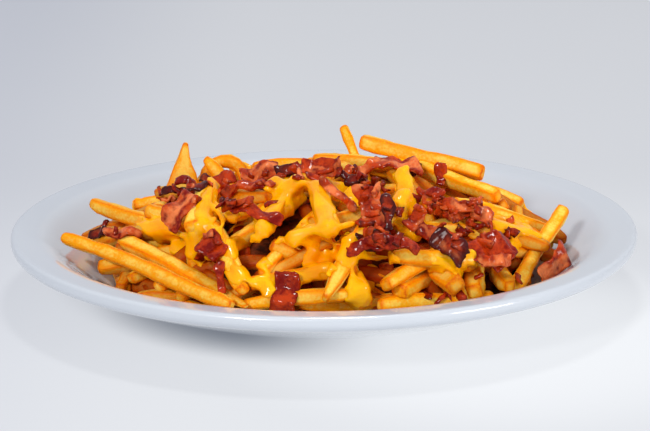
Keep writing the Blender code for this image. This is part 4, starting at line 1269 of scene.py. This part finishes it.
def in_millimetres(thing):
    """A copy of a finished mesh, back in millimetres, with its doubled points merged."""
    bm = bmesh.new()
    bm.from_mesh(thing.data)
    bmesh.ops.scale(bm, vec=(1 / MM, 1 / MM, 1 / MM), verts=bm.verts)
    bmesh.ops.remove_doubles(bm, verts=bm.verts, dist=0.01)
    return bm


crust_tree = BVHTree.FromBMesh(in_millimetres(fries))


def seen_surface(across, up):
    """The sight line through (across, up), and how far along it the fries are met."""
    ray = unit(in_picture(across, up) - SEAT)
    *_, distance = crust_tree.ray_cast(Vector(SEAT), Vector(ray))
    return ray, SEAT_DISTANCE + BEHIND_HEAP if distance is None else distance


def draped(path):
    """A strand's middle line, drawn tight over what lies under it."""
    path = np.array(path, dtype=float)
    walked = np.concatenate([[0], np.cumsum(np.linalg.norm(np.diff(path, axis=0), axis=1))])
    at = np.linspace(0, walked[-1], max(4, int(walked[-1] / STRAND_STEP)))
    across, up = np.interp(at, walked, path[:, 0]), np.interp(at, walked, path[:, 1])
    rays, depths = zip(*[seen_surface(a, b) for a, b in zip(across, up)])
    depth = np.array(depths)
    for step in range(TIGHTENING):
        depth[1:-1] = np.minimum(depth[1:-1], (depth[:-2] + depth[2:]) / 2 + SAG)
        depth[0] = min(depth[0], depth[1] + STRAND_STEP)
        depth[-1] = min(depth[-1], depth[-2] + STRAND_STEP)
    return SEAT + np.array(rays) * depth[:, None]


strands = np.zeros(cell_counts, dtype=np.float32)
for radius, path in SAUCE_STRANDS:
    beads = draped(path)
    wobble = 1.0 + STRAND_SWELL * np.sin(np.arange(len(beads)) * 0.9 + radius)
    for bead, swell in zip(beads, wobble):
        part = window(bead[None], radius + STRAND_REACH)
        away = np.linalg.norm(cells_in(part) - bead, axis=-1) - radius * STRAND_THINNER * swell
        strands[part] += np.exp(-np.maximum(away, -STRAND_DEPTH) / JOIN) * STRAND_SHARE
field = -JOIN * np.log(np.exp(-np.clip(sauce_field, NO_SAUCE, FIELD_FAR) / JOIN) + strands + 1e-9)
print("cells inside the sauce:", int((field < 0).sum()))

# %% [markdown]
# The surface where the field is zero comes out as one small square for each cell that it
# passes, which is far more than its soft forms need. A modifier thins the squares where
# the skin is nearly flat, and loose specks of sauce are left out.

# %% Turn the field into a skin
DEEPEST = -6.0
SMALLEST_BLOB = 150
SMOOTHING = 4
MOST_TRIANGLES = 190000

vdb = openvdb.FloatGrid(FIELD_FAR)
vdb.copyFromArray(np.clip(field, DEEPEST, FIELD_FAR))
points, triangles, quads = vdb.convertToPolygons(0.0, 0.0)
print("skin:", len(points), "points", len(quads), "quads")
skin_mesh = bpy.data.meshes.new("skin")
skin_mesh.from_pydata((BLOCK_LOW + points * CELL).tolist(), [], triangles.tolist() + quads.tolist())
skin = bmesh.new()
skin.from_mesh(skin_mesh)
bpy.data.meshes.remove(skin_mesh)


def drop_specks(bm, smallest):
    """Delete loose shells with few faces."""
    left = set(bm.faces)
    while left:
        shell, front = set(), [next(iter(left))]
        while front:
            face = front.pop()
            if face not in shell:
                shell.add(face)
                front += [other for edge in face.edges for other in edge.link_faces]
        left -= shell
        if len(shell) < smallest:
            bmesh.ops.delete(bm, geom=list(shell), context="FACES")


def relax(bm, times):
    """Move each point halfway to the middle of its neighbours, some times over."""
    for step in range(times):
        bmesh.ops.smooth_vert(bm, verts=bm.verts, factor=0.5,
                              use_axis_x=True, use_axis_y=True, use_axis_z=True)


drop_specks(skin, SMALLEST_BLOB)
relax(skin, SMOOTHING)
bmesh.ops.recalc_face_normals(skin, faces=skin.faces)
cheese_sauce = finished("cheese_sauce", skin)
thinner = cheese_sauce.modifiers.new("fewer faces", "DECIMATE")
thinner.ratio = min(1.0, MOST_TRIANGLES / (2 * len(cheese_sauce.data.polygons)))
print("share of the sauce's faces that is kept:", round(thinner.ratio, 2))

# %% [markdown]
# Molten processed cheese is strongly coloured, wet and a little clear at the edges.
# The wet skin is a coat over a softly scattering body; faint dimples keep its
# highlights from looking like plastic.

# %% Cheese
cheese = Finish("melted cheese", {
    "Subsurface Weight": 0.25, "Subsurface Scale": 0.003, "Subsurface Radius": (1.0, 0.55, 0.05),
    "Coat Weight": 0.5, "Coat Roughness": 0.06, "Roughness": 0.5, "Specular IOR Level": 0.03})
thick = cheese.between(cheese.grain(9.0), 0.35, 0.65)
tint = cheese.blend(thick, colour(252, 180, 0), colour(250, 160, 0))
dimples = cheese.bump(cheese.grain(3.5, detail=1.0), 0.25)
cheese_sauce.data.materials.append(cheese.finish(Base_Color=tint, Normal=dimples))
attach(cheese_sauce, "root")
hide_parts("fries")

# %% [markdown]
# ## Bacon
#
# Crisp bacon crumbles into thin wavy scraps. The solid model has each scrap in its
# place, as a plain sheet. A copy of each is merged, cut finer, torn at its edges and
# crumpled by noise. Its own length and breadth, found from where its points lie,
# become marks, because the fat runs in bands along the rasher. Lean scraps, fatty
# ones and scorched ones lie side by side in one pan.

# %% What each scrap is like
FATTY = {1, 7, 15, 16, 19, 26, 27, 30, 31, 40}
LEAN = {3, 9, 21, 22, 25, 36, 37, 38}
SCORCHED = {2, 4, 5, 11, 13, 14, 18, 20, 24, 32, 39}
RASHER_CUTS = 3
SOFTENING = 3
REGROWN = 1.12
TEAR = 2.8
TEAR_LAYERS = ((1.0, 0.12), (0.35, 0.45))
CRUMPLE = 2.0
CRUMPLE_LAYERS = ((1.0, 0.12), (0.3, 0.4))
RIPPLE = 1.1
RIPPLE_LENGTH = 11.0


def temper(number):
    """How fatty and how scorched a scrap is, each from 0 to 1."""
    draw = np.random.default_rng(400 + number)
    fatty = 0.75 if number in FATTY else 0.1 if number in LEAN else draw.uniform(0.15, 0.6)
    scorched = 0.9 if number in SCORCHED else draw.uniform(0.0, 0.45)
    return fatty, scorched


print("fatty:", len(FATTY), "lean:", len(LEAN), "scorched:", len(SCORCHED))

# %% Tear and crumple


def own_axes(points):
    """Middle of a cloud of points and its axes, longest first."""
    middle = points.mean(axis=0)
    _, vectors = np.linalg.eigh(np.cov((points - middle).T))
    return middle, vectors[:, ::-1].T


def crisp(name, number):
    """A torn and crumpled copy of one plain scrap, with its marks."""
    bm = in_millimetres(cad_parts[name])
    bmesh.ops.subdivide_edges(bm, edges=bm.edges, cuts=RASHER_CUTS, use_grid_fill=True)
    relax(bm, SOFTENING)
    bmesh.ops.scale(bm, vec=(REGROWN, REGROWN, REGROWN), verts=bm.verts,
                    space=Matrix.Translation(-points_of(bm).mean(axis=0)))
    points = points_of(bm)
    middle, (long_axis, cross_axis, normal) = own_axes(points)
    along, across = (points - middle) @ long_axis, (points - middle) @ cross_axis
    share_along, share_across = along / np.abs(along).max(), across / np.abs(across).max()
    shift = Vector(np.random.default_rng(300 + number).uniform(0, 300, size=3))
    for vert, a, b in zip(bm.verts, share_along, share_across):
        spot = vert.co + shift
        tear = TEAR * layered(spot, TEAR_LAYERS)
        crumple = CRUMPLE * layered(spot, CRUMPLE_LAYERS)
        crumple += RIPPLE * math.sin(math.tau * spot.dot(Vector(long_axis)) / RIPPLE_LENGTH)
        vert.co += Vector((a ** 3 * long_axis + b ** 3 * cross_axis) * tear + normal * crumple)
    fatty, scorched = temper(number)
    rim = np.maximum(np.abs(share_along), np.abs(share_across))
    return marked(bm, across=across, rim=rim, fatty=fatty, scorched=scorched)


scraps = [crisp(name, number) for number, name in enumerate(bacon_nodes, 1)]
print("points of all scraps:", sum(len(scrap.verts) for scrap in scraps))

# %% [markdown]
# The plain sheets lie clear of one another, so a crumpled scrap would hang a little
# above its neighbours. Each one is let down until a few of its points touch the food:
# in front along the line of sight, which keeps its place in the picture, and behind
# straight into the heap. Those nearest the food go first, and the rest come down on
# top of them.

# %% Let the scraps down
TOUCHING_SHARE = 14
FARTHEST_DROP = 14.0
ENOUGH_HITS = 0.3
SEEN_FROM_SEAT = 0.05

food = in_millimetres(fries)
for layer in (cheese_sauce, deep_fries, glazed_plate):
    add_to(food, in_millimetres(layer))
food_tree = BVHTree.FromBMesh(food)


def way_down(scrap):
    """The direction in which a scrap is let down."""
    middle = points_of(scrap).mean(axis=0)
    outward = heap_normal(middle)
    return Vector(unit(middle - SEAT) if outward @ TOWARD_SEAT > SEEN_FROM_SEAT else -outward)


def meeting(point, direction, trees):
    """How far a point can go before it meets the food, 0 if it is inside already."""
    ways = []
    for tree in trees:
        spot, normal, _, way = tree.ray_cast(point, direction, FARTHEST_DROP)
        if spot is not None:
            ways.append(0.0 if normal.dot(direction) > 0 else way)
    return min(ways, default=None)


def room_below(scrap, direction, trees):
    """How far a scrap can go before a few of its points are in the food."""
    ways = [meeting(vert.co, direction, trees) for vert in scrap.verts]
    ways = [way for way in ways if way is not None]
    if len(ways) < ENOUGH_HITS * len(scrap.verts):
        return None
    return float(np.percentile(ways, TOUCHING_SHARE))


tray = marked(bmesh.new(), across=0.0, rim=0.0, fatty=0.0, scorched=0.0)
waiting = sorted(scraps, key=lambda scrap: room_below(scrap, way_down(scrap), [food_tree]) or 0.0)
drops = []
for scrap in waiting:
    trees = [food_tree, BVHTree.FromBMesh(tray)] if tray.faces else [food_tree]
    for direction in (way_down(scrap), Vector((0.0, 0.0, -1.0))):
        room = room_below(scrap, direction, trees)
        if room is not None:
            bmesh.ops.translate(scrap, verts=scrap.verts, vec=direction * room)
            drops.append(room)
            break
    add_to(tray, scrap)
print("let down:", len(drops), "scraps, by", round(float(np.mean(drops)), 1), "mm on average,",
      round(max(drops), 1), "at most")

# %% [markdown]
# A rasher that breaks leaves crumbs. They lie thickest where the scraps do, on whatever
# is uppermost there, so each one follows a line of sight down to the food and lies flat
# on what it meets.

# %% Crumbs: across, up, half width, half height and number of each sprinkle
SPRINKLES = [
    (-66, 46, 16, 5, 10), (-38, 47, 14, 7, 10), (-22, 56, 12, 4, 6), (4, 56, 16, 4, 8),
    (24, 40, 7, 14, 14), (30, 26, 10, 6, 8), (47, 40, 12, 8, 12), (64, 34, 12, 8, 12),
    (74, 24, 10, 7, 10), (94, 27, 5, 5, 3), (-104, 29, 8, 2, 2), (-55, 22, 5, 6, 3),
    (62, -6, 14, 2, 4), (84, 4, 10, 2, 3),
]
CRUMB_LONG = (1.6, 4.2)
CRUMB_WIDE = (1.0, 2.4)
CRUMB_THICK = 0.75
CRUMB_CORNER = 0.6
CRUMB_CUTS = (3, 1)
CRUMB_TILT = 0.4
CRUMB_BEND = 0.25
CRUMB_WAVE = 0.5
CRUMB_SKEW = 0.5
CRUMB_CREASE = 0.8

add_to(food, tray.copy())
food_tree = BVHTree.FromBMesh(food)
food.free()


def crumb(across, up, draw):
    """A bent crumb of bacon where the sight line through (across, up) meets the food."""
    ray = unit(in_picture(across, up) - SEAT)
    spot, normal, *_ = food_tree.ray_cast(Vector(SEAT), Vector(ray))
    if spot is None:
        return None
    normal = unit(np.array(normal) + CRUMB_TILT * draw.normal(size=3))
    along = unit(np.cross(normal, draw.normal(size=3)))
    side = np.cross(normal, along)
    half = np.array([draw.uniform(*CRUMB_LONG), draw.uniform(*CRUMB_WIDE), CRUMB_THICK])
    bm = blank(*CRUMB_CUTS)
    co = points_of(bm)
    p = rounded_box(co, half, CRUMB_CORNER)
    p[:, 2] += draw.uniform(-CRUMB_BEND, CRUMB_BEND) * p[:, 0] ** 2 / half[0]
    p[:, 2] += CRUMB_WAVE * draw.normal() * np.sin(1.3 * p[:, 0])
    p[:, 1] += draw.uniform(-CRUMB_SKEW, CRUMB_SKEW) * p[:, 0]
    shift = Vector(draw.uniform(0, 300, size=3))
    world = np.array(spot) + normal * CRUMB_THICK + p @ np.array([along, side, normal])
    move_to(bm, [Vector(point) + CRUMB_CREASE * noise.noise_vector(Vector(point) * 0.4 + shift)
                 for point in world])
    fatty, scorched = draw.choice([0.1, 0.2, 0.6, 0.85]), draw.choice([0.1, 0.3, 0.6, 0.9])
    return marked(bm, across=p[:, 1], rim=np.abs(co[:, 0]) * 0.7, fatty=fatty, scorched=scorched)


sprinkle_draw = np.random.default_rng(55)
dropped = 0
for across, up, wide, high, number in SPRINKLES:
    for k in range(number):
        dx, dy = sprinkle_draw.uniform(-1.0, 1.0, size=2)
        bit = crumb(across + dx * wide, up + dy * high, sprinkle_draw)
        if bit is not None:
            add_to(tray, bit)
            dropped += 1
print("crumbs:", dropped)
bacon = finished("bacon_scraps", tray)

# %% [markdown]
# Lean meat fries to a dark red-brown and is close-grained; fat goes amber or stays
# pink, and is clearer and smoother. Thin rims scorch almost to black. Everything is
# wet with its own fat, so small sharp highlights run over the creases.

# %% Crisp bacon
rasher = Finish("crisp bacon", {
    "Subsurface Weight": 0.1, "Subsurface Scale": 0.002, "Subsurface Radius": (1.0, 0.3, 0.1),
    "Coat Weight": 0.35, "Coat Roughness": 0.09, "Specular IOR Level": 0.03})
bacon_marks = ("across", "rim", "fatty", "scorched")
across, rim, fatty, scorched = (rasher.attribute(name) for name in bacon_marks)
drift = rasher.grain(9.0, detail=2.0)
fibre = rasher.grain(1.2, detail=4.0)
bands = (across * 0.6 + drift * 12.0 + fatty * 20.0).sine()
fat = rasher.between(bands * 0.3 + fatty * 0.9 + fibre * 0.4, 0.55, 1.15)
wrinkle = rasher.grain(3.6, detail=2.0)
speckle = drift * 0.5 + wrinkle * 0.35 + fibre * 0.25
meat = rasher.blend(rasher.between(speckle, 0.44, 0.68), colour(116, 10, 2), colour(184, 56, 8))
tallow = rasher.blend(rasher.between(speckle, 0.46, 0.66), colour(226, 122, 68), colour(196, 70, 10))
flesh = rasher.blend(fat, meat, tallow)
burnt = rasher.between(rim * 0.55 + scorched * 0.75 + drift * 0.5, 0.9, 1.45)
flesh = rasher.blend(burnt, flesh, colour(62, 12, 12))
grease = rasher.between(drift, 0.35, 0.65) * 0.25 + 0.28
creases = rasher.bump(wrinkle * 0.8 + fibre * 0.3 + bands * 0.1, 1.1)
bacon.data.materials.append(rasher.finish(Base_Color=flesh, Roughness=grease, Normal=creases))
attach(bacon, "root")
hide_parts(*bacon_nodes)
